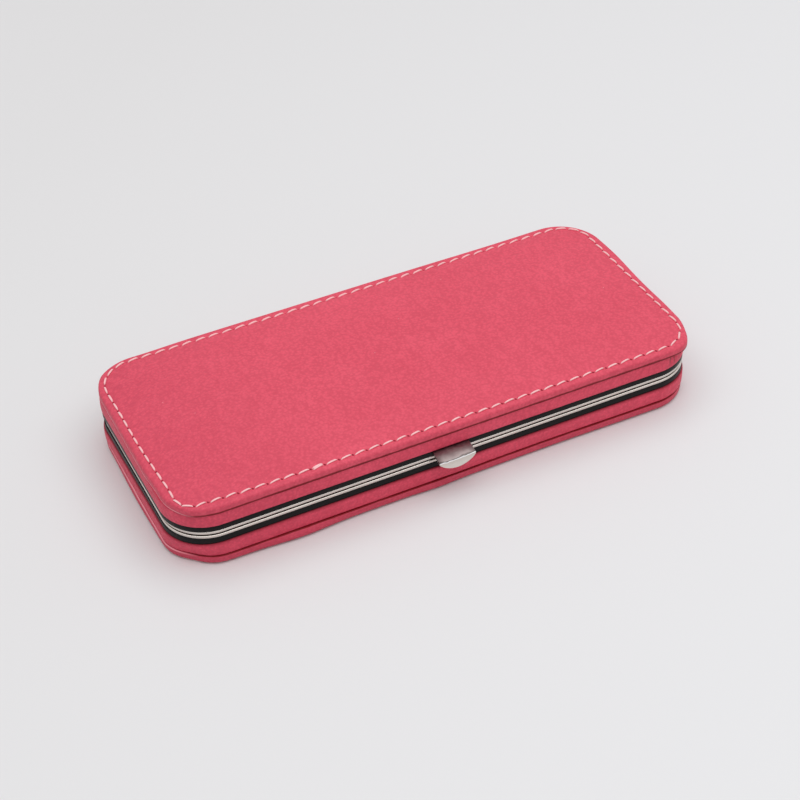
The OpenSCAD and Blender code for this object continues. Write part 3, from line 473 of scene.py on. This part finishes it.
def corner_foot(x, y):
    """Nearest point of the rectangle through the centres of the four corners."""
    return Vector((min(max(x, -CORNER_X), CORNER_X), min(max(y, -CORNER_Y), CORNER_Y)))


def at_inset(x, y, inset):
    """Moves a point square to the outline until it lies inset inside the edge."""
    foot = corner_foot(x, y)
    return foot + (Vector((x, y)) - foot).normalized() * (CORNER_R - inset)


def inset_of(x, y):
    """Distance of a point from the edge of the panel."""
    over_x, over_y = abs(x) - CORNER_X, abs(y) - CORNER_Y
    if over_x > 0 and over_y > 0:
        return CORNER_R - math.hypot(over_x, over_y)
    return CORNER_R - max(over_x, over_y)


CORNERS = ((1, -1), (1, 1), (-1, 1), (-1, -1))
SEAM_RADII = (9.0, 9.0, 9.8, 5.6)          # of the stitch line at the same corners
SEAM_STEP = 0.1                            # between points of the line
# Where the stitch line strays inwards: x, y, reach and how far
SEAM_STRAY = ((-73, -26, 16, 1.1), (-30, 31.3, 40, 0.45), (30, 31.3, 40, 0.45),
              (62, 31.3, 16, 0.3))


def seam_course():
    """Points and headings on the stitch line, from the front's left end, anticlockwise."""
    course, corners = [], []
    for k, (sx, sy) in enumerate(CORNERS):
        heading = k * math.pi / 2
        ahead = Vector((math.cos(heading), math.sin(heading)))
        outward = Vector((ahead.y, -ahead.x))
        radius, before = SEAM_RADII[k], SEAM_RADII[k - 1]
        half_l, half_w = CASE_L / 2 - STITCH_INSET, CASE_W / 2 - STITCH_INSET
        centre = Vector((sx * (half_l - radius), sy * (half_w - radius)))
        run = 2 * (half_l if k % 2 == 0 else half_w) - before - radius
        steps = round(run / SEAM_STEP)
        for i in range(steps):
            course.append((centre + outward * radius - ahead * run * (1 - i / steps), heading))
        steps = round(math.pi / 2 * radius / SEAM_STEP)
        corners.append((len(course) * SEAM_STEP, steps * SEAM_STEP))
        for i in range(steps):
            turn = math.pi / 2 * i / steps
            spot = centre + (outward * math.cos(turn) + ahead * math.sin(turn)) * radius
            course.append((spot, heading + turn))
    strayed = []
    for spot, heading in course:
        inward = Vector((-math.sin(heading), math.cos(heading)))
        off = sum(far * math.exp(-((spot.x - x) ** 2 + (spot.y - y) ** 2) / reach ** 2)
                  for x, y, reach, far in SEAM_STRAY)
        strayed.append((spot + inward * off, heading))
    return strayed, corners


COURSE, SEAM_CORNERS = seam_course()
SEAM_LENGTH = len(COURSE) * SEAM_STEP
course_tree = kdtree.KDTree(len(COURSE))
for index, (spot, _) in enumerate(COURSE):
    course_tree.insert((spot.x, spot.y, 0), index)
course_tree.balance()


def seam_point(along):
    """Place and heading on the stitch line."""
    return COURSE[round(along / SEAM_STEP) % len(COURSE)]


def seam_near(x, y):
    """Distance round the stitch line of the nearest place, and the distance in from it."""
    spot, index, _ = course_tree.find((x, y, 0))
    heading = COURSE[index][1]
    inward = (spot.x - x) * math.sin(heading) - (spot.y - y) * math.cos(heading)
    return index * SEAM_STEP, inward


def field_sheet(name, inset, step):
    """Grid over the panel's outline at an inset, its corners drawn in to the round."""
    half_l, half_w, radius = CASE_L / 2 - inset, CASE_W / 2 - inset, CORNER_R - inset
    deselect()
    bpy.ops.mesh.primitive_grid_add(x_subdivisions=2 * round(half_l / step),
                                    y_subdivisions=2 * round(half_w / step), size=2)
    sheet = bpy.context.object
    sheet.name = name
    for vertex in sheet.data.vertices:
        x, y = vertex.co.x * half_l, vertex.co.y * half_w
        a, b = (abs(x) - CORNER_X) / radius, (abs(y) - CORNER_Y) / radius
        if a > 0 and b > 0:
            a, b = a * math.sqrt(1 - b * b / 2), b * math.sqrt(1 - a * a / 2)
            x = math.copysign(CORNER_X + radius * a, x)
            y = math.copysign(CORNER_Y + radius * b, y)
        vertex.co = (x, y, 0)
    return sheet


def select_edge_loops():
    """Selects the open edges of the piece in hand."""
    bpy.ops.mesh.select_mode(type="EDGE")
    bpy.ops.mesh.select_all(action="DESELECT")
    bpy.ops.mesh.select_non_manifold(extend=False, use_wire=True, use_boundary=True,
                                     use_multi_face=False, use_non_contiguous=False,
                                     use_verts=False)


def grow_loops(piece, section, shape):
    """Extrudes the open edge of a piece once for each point (inset, height) of section.
    shape gives the place of each new point."""
    pick(piece)
    bpy.ops.object.mode_set(mode="EDIT")
    select_edge_loops()
    for inset, height in section:
        bpy.ops.mesh.extrude_region_move()
        mesh = bmesh.from_edit_mesh(piece.data)
        for vertex in mesh.verts:
            if vertex.select:
                spot = at_inset(vertex.co.x, vertex.co.y, inset)
                vertex.co = shape(spot.x, spot.y, inset, height)
        bmesh.update_edit_mesh(piece.data)


def outline_loop(name, inset, step):
    """The bare edge loop of the outline at an inset."""
    loop = field_sheet(name, inset, step)
    pick(loop)
    bpy.ops.object.mode_set(mode="EDIT")
    select_edge_loops()
    bpy.ops.mesh.select_mode(type="VERT")
    bpy.ops.mesh.select_all(action="INVERT")
    bpy.ops.mesh.delete(type="VERT")
    leave_edit()
    return loop


def finish_half(piece, lid, material, angle=60):
    """Takes a piece from millimetres over the parting plane to its place in metres, where
    it rides its half."""
    for vertex in piece.data.vertices:
        up = vertex.co.z if lid else -vertex.co.z
        vertex.co = Vector((vertex.co.x, vertex.co.y, MID_Z + up)) * MM
    edit_all(piece)
    bpy.ops.mesh.normals_make_consistent(inside=False)
    leave_edit()
    bpy.ops.object.shade_smooth_by_angle(angle=math.radians(angle))
    piece.data.materials.clear()
    piece.data.materials.append(material)
    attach(piece, "lid" if lid else "base")


# ---- Padded panels ----

FIELD_INSET = 2.6                          # where the padding starts, inside the stitches
SHEET_INSET = 3.8                          # of the even sheet in the middle
EDGE_FADE = 12                             # inset at which an edge's shift has died out
TOP_R, FOOT_R = 0.9, 0.3                   # of the folded edge, above and below
UNEVEN_H = 1.6                             # height to which the edge's foot is uneven
SHOULDER = 0.3                             # share of the crown that rises at the stitches
GROOVE_DEPTH, GROOVE_W = 0.2, 0.42         # of the line that the thread draws down
SWELL_H, SWELL_W = 0.05, 1.3               # and of the swelling between its holes
PUFF_SCALE, PUFF_GRID, PUFF_STEPS = 8, 1.6, 20     # of the cloth trial
PUFF_SHARE = 0.45                          # of the crown that the cloth trial shapes
SLACK = 1e-6                               # for comparing insets and heights
STITCHES = round(SEAM_LENGTH / STITCH_PITCH)
STITCH_STEP = SEAM_LENGTH / STITCHES
# Where the folded edge of a panel stands out (or in) from the true outline:
# x, y, reach along the edge and how far
LID_EDGE = ((70.6, -31.8, 4.6, 1.5), (-69.6, -31.4, 3.2, 0.5), (-75, -20.5, 6, -0.55),
            (-60, 33.3, 9, -0.35), (75, 12, 9, 0.5), (75, -14, 5, 0.15), (45, 33.3, 18, -0.25),
            (-72.2, 29, 3, 0.3))
BASE_EDGE = ((-75, -2, 16, 0.45), (-71.3, -29.6, 6, -1.15), (-42, -33.3, 9, 0.8),
             (-4, -33.3, 6, 0.4), (28, -33.3, 20, -0.3))


def edge_shift(x, y, edge):
    """Shift of a place with the folded edge beside it, square to the outline."""
    rim = at_inset(x, y, 0)
    fade = unit(1 - inset_of(x, y) / EDGE_FADE)
    out = sum(far * math.exp(-((rim.x - ex) ** 2 + (rim.y - ey) ** 2) / reach ** 2)
              for ex, ey, reach, far in edge)
    return (rim - corner_foot(x, y)).normalized() * out * fade


def crown_share(inset, last):
    """Share of the crown at an inset: a quick shoulder, then a slow swell."""
    s = unit((inset - FIELD_INSET) / (last - FIELD_INSET))
    return SHOULDER * min(1, s * 12) + (1 - SHOULDER) * (1 - (1 - s) ** 2.4)


def stitch_wave(along):
    """Wave along the stitch line, 1 at each needle hole and -1 between them."""
    return math.cos(2 * math.pi * (along / STITCH_STEP + 0.35))


def stitch_pull(along, inward):
    """How far the thread draws the leather down: a groove, deepest at the holes."""
    near = math.exp(-(inward / GROOVE_W) ** 2)
    beat = 0.5 + 0.5 * stitch_wave(along)
    swell = math.exp(-(inward / SWELL_W) ** 2)
    return GROOVE_DEPTH * near * (0.4 + 0.6 * beat ** 3) - SWELL_H * swell * (1 - beat)


def puffed_field():
    """Swells a copy of the padded field by cloth simulation, drawn large and held along
    its stitch line. Gives the height at a place as a share of the highest."""
    sheet = field_sheet("padding_trial", STITCH_INSET, PUFF_GRID)
    held = sheet.vertex_groups.new(name="held")
    for vertex in sheet.data.vertices:
        x, y = vertex.co.x, vertex.co.y
        inset = inset_of(x, y)
        vertex.co.z = -stitch_pull(*seam_near(x, y)) if inset < 4 else 0
        held.add([vertex.index], 1.0 if inset < FIELD_INSET else 0.0, "ADD")
        vertex.co *= PUFF_SCALE * MM
    cloth = sheet.modifiers.new("cloth", "CLOTH")
    cloth.settings.use_pressure = True
    cloth.settings.uniform_pressure_force = 4
    cloth.settings.vertex_group_mass = "held"
    cloth.settings.effector_weights.gravity = 0
    cloth.settings.tension_stiffness = 25
    cloth.settings.bending_stiffness = 4
    cloth.settings.quality = 6
    cloth.settings.shrink_min = -0.006
    cloth.collision_settings.use_collision = False
    cloth.point_cache.frame_start, cloth.point_cache.frame_end = 1, PUFF_STEPS
    for step in range(1, PUFF_STEPS + 1):
        scene.frame_set(step)
    swollen = sheet.evaluated_get(bpy.context.evaluated_depsgraph_get()).to_mesh()
    heights = {}
    for before, after in zip(sheet.data.vertices, swollen.vertices):
        cell = tuple(round(at / PUFF_SCALE / MM / PUFF_GRID) for at in before.co.xy)
        heights.setdefault(cell, []).append(after.co.z / PUFF_SCALE / MM)
    sheet.evaluated_get(bpy.context.evaluated_depsgraph_get()).to_mesh_clear()
    scene.frame_set(1)
    bpy.data.objects.remove(sheet)
    top = max(max(v) for v in heights.values())
    grid = {cell: unit(sum(v) / len(v) / top) for cell, v in heights.items()}

    def share(x, y):
        """Height at a place, blended from the four cells round it."""
        u, v = x / PUFF_GRID, y / PUFF_GRID
        i, j = math.floor(u), math.floor(v)
        total = weight = 0
        for di in (0, 1):
            for dj in (0, 1):
                w = (1 - abs(u - i - di)) * (1 - abs(v - j - dj))
                if (i + di, j + dj) in grid:
                    total += w * grid[(i + di, j + dj)]
                    weight += w
        return total / weight if weight > 0.05 else 0

    return share


def panel(name, lid, crown, last, step, edge, material, puff):
    """Stitched panel: leather cloth over foam, turned round the board and hemmed. Its
    crown is full at the inset last, and its middle is a grid of the given step."""
    def unevenness(x, y, inset, along, inward):
        """Soft dips of the padding, creases at the left end, puckers at the stitches. The
        noises divide x and y by the size of their dips, and are then scaled to height."""
        soft = noise.noise((x / 17, y / 13, crown)) * 0.05
        fine = noise.noise((x / 5.5, y / 4.5, 3 + crown)) * 0.016
        left = unit((-x - 42) / 22) * unit((inset - 3) / 4)
        crease = noise.noise((x / 1.7 + y / 6, y / 8, 9)) * 0.028 * left
        back = unit((y - 18) / 10) * (1 if inward > 0 else 0)
        draw = math.exp(-abs(inward) / (1.4 + 2.2 * back))
        pucker = draw * (0.04 + 0.04 * back) * stitch_wave(along) \
            * (1 if inset < 10 else 0) * unit((inset - 0.9) / 0.8)
        return (soft + fine) * unit((inset - 1) / 4) + crease - pucker

    def top(x, y, inset, height):
        """Place of a point of the panel, padded, drawn down and shifted."""
        shift = edge_shift(x, y, edge)
        if not lid and shift.dot(Vector((x, y))) > 0:
            # the underside's edge sags outwards only below its seam
            shift *= unit(height / 1.1)
        h = SEAM_H + height
        if inset >= TOP_R - SLACK and height >= PANEL_T - SLACK:
            along, inward = seam_near(x + shift.x, y + shift.y) if lid else seam_near(x, y)
            share = crown_share(inset, last)
            if puff and inset > FIELD_INSET:
                share = (1 - PUFF_SHARE) * share + PUFF_SHARE * puff(x, y)
            h += crown * share - stitch_pull(along, inward) \
                + unevenness(x, y, inset, along, inward) * (1 if lid else 0.35)
            if not lid:
                h = min(h, SEAM_H + PANEL_T + crown)
        elif 0 < height < UNEVEN_H and inset < 0.5:
            # the folded edge is not quite even along its foot
            h += noise.noise((x / 4, y / 4, 20 + crown)) * 0.06 * (UNEVEN_H - height)
        return (x + shift.x, y + shift.y, h)

    piece = field_sheet(name, SHEET_INSET, step)
    for vertex in piece.data.vertices:
        x, y = vertex.co.x, vertex.co.y
        vertex.co = top(x, y, inset_of(x, y), PANEL_T)
    section = [(i, PANEL_T) for i in (3.5, 3.2, 2.95, 2.75, 2.55, 2.35, 2.2, 2.05, 1.95, 1.85,
                                      1.7, 1.5, 1.3, 1.1, 0.9)]
    for a in (75, 60, 45, 30, 15, 0):
        turn = math.radians(a)
        section.append((TOP_R * (1 - math.cos(turn)), PANEL_T - TOP_R * (1 - math.sin(turn))))
    section += [(0, PANEL_T - TOP_R - 0.4), (-0.03, 0.8), (0, FOOT_R + 0.15)]
    for a in (0, 22, 45, 67, 90):
        turn = math.radians(a)
        section.append((FOOT_R * (1 - math.cos(turn)), FOOT_R * (1 - math.sin(turn))))
    section += [(HEM_W, 0), (HEM_W, LEATHER_T), (LEATHER_T, LEATHER_T),
                (LEATHER_T, BOARD_TOP)]
    grow_loops(piece, section, top)
    bpy.ops.mesh.edge_face_add()
    leave_edit()
    finish_half(piece, lid, material)
    return piece


puff = puffed_field()
lid_panel = panel("lid_padded_panel", True, LID_CROWN, 29, 0.55, LID_EDGE, lid_leather, puff)
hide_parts("lid_cover", "lid_foam")
base_panel = panel("base_padded_panel", False, BASE_CROWN, 14, 0.8, BASE_EDGE, base_leather_painted_shade,
                   None)
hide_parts("base_cover", "base_foam")


def board_piece(name, lid, edge):
    """Fibreboard of a panel, cut to the panel's own slightly uneven outline and a hair
    clear of the cloth round it."""
    piece = field_sheet(name, LEATHER_T + 0.12, 1.5)
    for vertex in piece.data.vertices:
        x, y = vertex.co.x, vertex.co.y
        shift = edge_shift(x, y, edge)
        vertex.co = (x + shift.x, y + shift.y, SEAM_H + LEATHER_T + 0.02)
    edit_all(piece)
    bpy.ops.mesh.extrude_region_move(
        TRANSFORM_OT_translate={"value": (0, 0, BOARD_TOP - LEATHER_T - 0.03)})
    leave_edit()
    finish_half(piece, lid, board, 40)
    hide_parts("lid_board" if lid else "base_board")


board_piece("lid_cut_board", True, LID_EDGE)
board_piece("base_cut_board", False, BASE_EDGE)


# ---- Leather side bands, enamelled rails and bright rims ----

# The rings of the frame stand out at the two ends, under bands that are stuck on there
LEFT_REACH, RIGHT_REACH = 0.42, 0.8
REACH_FROM, REACH_RUN = 52, 20             # where that starts, and the length it grows over
RING_INNER = 1.5                           # inset of a ring's inner face
OUTER_FACE = 1.2                           # insets below this belong to the outer face
RING_STEP = 0.36                           # between points of a ring's outline
BAND_INSET = 0.42
PLEAT_W, PLEAT_LINE_W = 0.34, 0.22         # of a pleat, and of the painted shade line in it
DEEP_PLEAT = 0.09                          # pleats deeper than this get a painted shade line


def end_shift(x, y, share=1.0):
    """Shift along the case of a ring's outer face near its ends."""
    near = unit((abs(x) - REACH_FROM) / REACH_RUN)
    near = near * near * (3 - 2 * near)
    return near * share * (RIGHT_REACH if x > 0 else -LEFT_REACH - 0.008 * y)


def ring(name, lid, section, skin, material, node, pleat_and_rail_shade=None):
    """Closed ring round a half: its inner edge is bridged to the loops of its section.
    The function given last says how much painted shade each place gets, in a pleat or under the
    rail."""
    piece = outline_loop(name, RING_INNER, RING_STEP)
    for vertex in piece.data.vertices:
        vertex.co.z = section[0][1]
    grow_loops(piece, section, skin)
    select_edge_loops()
    bpy.ops.mesh.bridge_edge_loops()
    leave_edit()
    if pleat_and_rail_shade:
        marks = piece.data.attributes.new("pleat_and_rail_shade", "FLOAT", "POINT")
        for vertex in piece.data.vertices:
            marks.data[vertex.index].value = pleat_and_rail_shade(*vertex.co)
    finish_half(piece, lid, material)
    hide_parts(node)
    return piece


def arc_section(inset, low, high, r):
    """Section of a strip with its two outer edges rounded, from its foot to its top."""
    turns = [math.radians(a) for a in (90, 60, 30, 0)]
    foot = [(inset + r * (1 - math.cos(t)), low + r * (1 - math.sin(t))) for t in turns]
    head = [(inset + r * (1 - math.cos(t)), high - r * (1 - math.sin(t)))
            for t in reversed(turns)]
    return foot, head


def side_band(name, lid, seed, material, creases):
    """Leather band round a half's wall, pulled over the frame, with small pleats where
    it turns the corners. creases holds the x, y, lean and depth of pleats of its own."""
    rand = random.Random(seed)
    band_h = SEAM_H - BAND_H0
    pleats = [(seam_near(x, y)[0], lean, depth) for x, y, lean, depth in creases]
    for first, arc in SEAM_CORNERS:
        for _ in range(3):
            pleats.append((first + arc * rand.uniform(-0.1, 1.05), rand.uniform(-0.5, 0.5),
                           rand.uniform(0.03, 0.08)))

    def skin(x, y, inset, height):
        """Place of a point of the band: rounded out, dented and drawn in at pleats."""
        spot = Vector((x, y))
        if inset < OUTER_FACE:
            along = seam_near(x, y)[0]
            share = (height - BAND_H0) / band_h
            dent = noise.noise((along / 9, height / 2.5, seed)) * 0.03
            ridge = 0.15 * math.sin(math.pi * unit(share) ** 0.75) ** 0.8
            for place, lean, depth in pleats:
                off = along - place - lean * (share - 0.5) * 2
                dent -= depth * math.exp(-(off / PLEAT_W) ** 2) * min(1, share * 1.6)
            spot = at_inset(x, y, max(inset - ridge - dent, 0.12))
            spot.x += end_shift(x, y, 0.7 if lid else 0.9)
            pull = edge_shift(x, y, BASE_EDGE)
            if not lid and pull.dot(spot) < 0:
                spot += pull * unit(share)
        return (spot.x, spot.y, height)

    def pleat_and_rail_shade(x, y, height):
        """How much painted shade a place gets, in a deep pleat or along the base's upper edge."""
        along = seam_near(x, y)[0]
        share = (height - BAND_H0) / band_h
        deep = sum(math.exp(-((along - place - lean * (share - 0.5) * 2) / PLEAT_LINE_W) ** 2)
                   * depth * 3.5 for place, lean, depth in pleats if depth > DEEP_PLEAT)
        # painted shade: the base's upper edge is darkened where it lies in shade under the rail
        under_rail_shade = 0 if lid else 0.8 * max(1 - (height - BAND_H0) / 0.5, 0)
        return max(min(deep, 1) * unit(share * 1.8 - 0.15), under_rail_shade)

    foot, head = arc_section(BAND_INSET, BAND_H0, SEAM_H, 0.3)
    wall = [(BAND_INSET, BAND_H0 + band_h * s) for s in (0.2, 0.32, 0.44, 0.56, 0.68, 0.8)]
    ring(name, lid, foot + wall + head + [(RING_INNER, SEAM_H)], skin, material,
         "lid_side_band" if lid else "base_side_band", pleat_and_rail_shade)


side_band("lid_leather_band", True, 5, lid_band_leather_painted_light,
          ((65.6, -32.7, 0.25, 0.3), (67.3, -32.3, -0.3, 0.4), (69.2, -31.4, 0.2, 0.3)))
side_band("base_leather_band", False, 11, base_band_leather_painted_light,
          ((-74.6, 6, 0.6, 0.1), (-74.6, 17, -0.5, 0.14)))


def metal_ring(name, lid, node, inset, round_r, left_share, material, opened=False):
    """Rail or rim: a drawn strip bent to the outline, whose left end stands out by
    left_share of the reach. The lid's rail is opened at the front for the tab."""
    low, high = (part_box(node)[i].z / MM - MID_Z for i in (0, 1))
    if not lid:
        low, high = -high, -low

    def skin(x, y, at, height):
        shift = end_shift(x, y, left_share if x < 0 else 1) if at < OUTER_FACE else 0
        return (x + shift, y, height)

    foot, head = arc_section(inset, low, high, round_r)
    piece = ring(name, lid, foot + head + [(RING_INNER, high)], skin, material, node)
    if opened:
        tab_low, tab_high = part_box("latch_tab")
        deselect()
        bpy.ops.mesh.primitive_cube_add(size=1)
        opening = bpy.context.object
        for vertex in opening.data.vertices:
            vertex.co = Vector((vertex.co.x * (tab_high.x - tab_low.x + 0.2 * MM),
                                tab_low.y + (vertex.co.y + 0.5) * 8 * MM,
                                (MID_Z + (low + high) / 2 + vertex.co.z * 8) * MM))
        cut_out = piece.modifiers.new("tab_opening", "BOOLEAN")
        cut_out.object = opening
        cut_out.operation = "DIFFERENCE"
        pick(piece)
        bpy.ops.object.modifier_apply(modifier=cut_out.name)
        bpy.data.objects.remove(opening)
        bpy.ops.object.shade_smooth_by_angle(angle=math.radians(50))


for half, rail_share, rim_share in (("lid", 1.15, 0.3), ("base", 1, 0.5)):
    metal_ring(half + "_enamelled_rail", half == "lid", half + "_rail", 0.7, 0.22,
               rail_share, enamel, half == "lid")
    metal_ring(half + "_bright_rim", half == "lid", half + "_rim", 0.75, 0.2,
               rim_share, rim_metal)


# ---- Stitching ----

def one_stitch():
    """A length of thread between two holes: arched, with its ends going down."""
    sides, rings, length, radius, turn_length = 6, 8, 2.9, 0.3, 1.2
    deselect()
    bpy.ops.mesh.primitive_circle_add(vertices=sides, radius=radius, fill_type="NGON",
                                      rotation=(0, math.pi / 2, 0))
    stitch = bpy.context.object
    bpy.ops.object.transform_apply()
    edit_all(stitch)
    for k in range(1, rings):
        bpy.ops.mesh.extrude_region_move()
        mesh = bmesh.from_edit_mesh(stitch.data)
        for vertex in mesh.verts:
            if vertex.select:
                vertex.co.x = k
        bmesh.update_edit_mesh(stitch.data)
    leave_edit()
    turns = stitch.data.uv_layers.new(name="UVMap")
    for loop in stitch.data.loops:
        spot = stitch.data.vertices[loop.vertex_index].co
        turns.data[loop.index].uv = (math.atan2(spot.z, spot.y) / math.pi, spot.x / turn_length)
    for vertex in stitch.data.vertices:
        t = vertex.co.x / (rings - 1)
        rise = max(math.sin(math.pi * t), 0)
        thin = 0.6 + 0.4 * rise ** 0.4
        arch = 0.26 * rise ** 0.35
        vertex.co = ((t - 0.5) * length, vertex.co.y * thin,
                     vertex.co.z * thin * 0.75 + arch - 0.14)
    edit_all(stitch)
    bpy.ops.mesh.normals_make_consistent(inside=False)
    leave_edit()
    bpy.ops.object.shade_smooth()
    return stitch


def one_hole():
    """Painted shade of a needle hole: a flat slit across the seam, in the bottom of the groove.
    """
    deselect()
    bpy.ops.mesh.primitive_uv_sphere_add(segments=8, ring_count=4, radius=1)
    hole = bpy.context.object
    for vertex in hole.data.vertices:
        vertex.co = (vertex.co.x * 0.26, vertex.co.y * 0.55, vertex.co.z * 0.1)
    return hole


def set_copy(model, made, place, height, turn, stretch):
    """Adds one more of a small piece to those made, turned and set down at its place."""
    copy = model.copy()
    copy.data = model.data.copy()
    scene.collection.objects.link(copy)
    copy.data.transform(Matrix.Translation((place.x, place.y, height))
                        @ Matrix.Rotation(turn, 4, "Z") @ Matrix.Diagonal((*stretch, 1)))
    made.append(copy)


def stitching(name, lid, seed):
    """All the stitches of a panel, and the painted shade of the needle holes between them."""
    def seat(spot):
        """The base's stitches go with the edge beside them."""
        return spot if lid else spot + edge_shift(spot.x, spot.y, BASE_EDGE)

    rand = random.Random(seed)
    stitch, hole = one_stitch(), one_hole()
    threads, holes = [], []
    top = SEAM_H + PANEL_T
    lift = 0.03 if lid else -0.1
    doubled = 8                            # sewn over a second time
    for k in range(STITCHES):
        along = (k + 0.15) * STITCH_STEP
        spot, heading = seam_point(along)
        outward = Vector((math.sin(heading), -math.cos(heading)))
        # a lockstitch leans; down the left side the line runs nearly straight
        lean = math.radians(9 - 7 * max(-outward.x, 0))
        for side, more in ((0, 0),) if k != doubled else ((0.16, 0.05), (-0.2, -0.04)):
            turn = heading + (lean if lid else -lean) + more + rand.uniform(-0.04, 0.04)
            set_copy(stitch, threads,
                     seat(spot) + outward * (side + rand.uniform(-0.05, 0.05)),
                     top + lift, turn, (rand.uniform(0.95, 1.04), rand.uniform(0.92, 1.08), 1))
        spot, heading = seam_point(along + STITCH_STEP / 2)
        outward = Vector((math.sin(heading), -math.cos(heading)))
        # the painted shade of a hole is largest at the front, smaller at the left, smaller still
        # at the right and smallest at the back
        shade_size = 1.0 - 0.8 * max(outward.y, 0) - 0.25 * max(-outward.x, 0) \
            - 0.5 * max(outward.x, 0)
        set_copy(hole, holes, seat(spot), top - 0.16, heading + (0.3 if lid else -0.3),
                 (shade_size, shade_size * rand.uniform(0.8, 1.15), 1))
    # pricks beside the line at the front left corner, dark with painted shade
    for x, y in ((-66.0, -28.6), (-59.5, -25.2), (-63.8, -30.0)) if lid else ():
        set_copy(hole, holes, Vector((x, y)), top - 0.02, 0.5, (0.7, 0.55, 0.7))
    bpy.data.objects.remove(stitch)
    bpy.data.objects.remove(hole)
    for made, label, material in ((threads, name + "_thread", thread),
                                  (holes, name + "_holes", hole_shade_finish)):
        deselect()
        for copy in made:
            copy.select_set(True)
        bpy.context.view_layer.objects.active = made[0]
        bpy.ops.object.join()
        joined = bpy.context.object
        joined.name = label
        finish_half(joined, lid, material, 80)


stitching("lid_stitching", True, 2)
stitching("base_stitching", False, 4)


# ---- Linings and straps, from the frame's own solids ----

def softened(node, name, material, width, segments, body):
    """A copy of a CAD solid with its faces joined and its edges rolled over."""
    piece = nodes[node].copy()
    piece.data = nodes[node].data.copy()
    # the copy sheds the marks of the node that it was made from
    for key in [k for k in piece.keys() if k.startswith("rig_")]:
        del piece[key]
    piece.parent = None
    piece.name = name
    scene.collection.objects.link(piece)
    edit_all(piece)
    bpy.ops.mesh.remove_doubles(threshold=0.005 * MM)
    bpy.ops.mesh.dissolve_limited(angle_limit=math.radians(1))
    leave_edit()
    bevel = piece.modifiers.new("rolled_edges", "BEVEL")
    bevel.width = width * MM
    bevel.segments = segments
    bevel.limit_method = "ANGLE"
    bevel.angle_limit = math.radians(50)
    bpy.ops.object.modifier_apply(modifier=bevel.name)
    bpy.ops.object.shade_smooth_by_angle(angle=math.radians(40))
    piece.data.materials.clear()
    piece.data.materials.append(material)
    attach(piece, body)
    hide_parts(node)


softened("lid_lining", "lid_flock_lining", flock, 0.25, 3, "lid")
softened("base_lining", "base_flock_lining", flock, 0.25, 3, "base")
softened("lid_strap", "lid_elastic", elastic, 0.2, 2, "lid")
softened("tool_strap", "tool_elastic", elastic, 0.2, 2, "base")
softened("clipper_strap", "clipper_elastic", elastic, 0.2, 2, "base")


# ---- Floor and light ----

WORLD_LIGHT, WORLD_SEEN = 0.42, 0.9        # the room's strength as a light and to the eye
LAMP_AT, LAMP_SIZE, LAMP_POWER = Vector((0.05, -0.12, 1.15)), 1.8, 14.2


def studio():
    """Seamless pale paper under a large soft light, almost straight above."""
    deselect()
    # a hair below the case, so that the two faces don't meet
    bpy.ops.mesh.primitive_plane_add(size=6, location=(0, 0, -0.02 * MM))
    floor = bpy.context.object
    floor.name = "paper_floor"
    bpy.ops.object.transform_apply()
    paper, shader, add = surface("matt_backdrop_paper", "#E6E5E7", 0.9, Specular_IOR_Level=0.2)
    place = add("TexCoord").outputs["Object"]
    # painted light: the paper is a little lighter towards the front right, where more light
    # falls, and darker towards the back left
    turned = add("Mapping", {"Vector": place, "Rotation": (0, 0, math.radians(45)),
                             "Scale": (3.2, 3.2, 3.2), "Location": (0.5, 0, 0)})
    fade = add("TexGradient", {"Vector": turned}).outputs["Fac"]
    tone = add("Mix", {"Factor": fade, MIX_A: "#E2E1E2", MIX_B: "#E9E9EB"}, data_type="RGBA")
    floor.data.materials.append(join(paper, shader, Base_Color=tone))

    world = bpy.data.worlds.new("studio")
    scene.world = world
    world.use_nodes = True
    back = world.node_tree.nodes["Background"]
    # the room is a little brighter than its light where it is seen or mirrored
    path = add_node(world, "LightPath")
    seen = path.outputs["Is Camera Ray"]
    for ray in ("Is Glossy Ray", "Is Transmission Ray"):
        seen = add_node(world, "Math", {0: seen, 1: path.outputs[ray]}, operation="MAXIMUM")
    level = add_node(world, "MapRange",
                     {"Value": seen, "To Min": WORLD_LIGHT, "To Max": WORLD_SEEN})
    back.inputs["Color"].default_value = linear("#FBFBFB")
    world.node_tree.links.new(level.outputs[0], back.inputs["Strength"])

    data = bpy.data.lights.new("soft_box", "AREA")
    data.size = LAMP_SIZE
    data.energy = LAMP_POWER
    lamp = bpy.data.objects.new("soft_box", data)
    scene.collection.objects.link(lamp)
    lamp.location = LAMP_AT
    lamp.rotation_euler = (-LAMP_AT).to_track_quat("-Z", "Y").to_euler()


studio()
scene.view_settings.view_transform = "Standard"
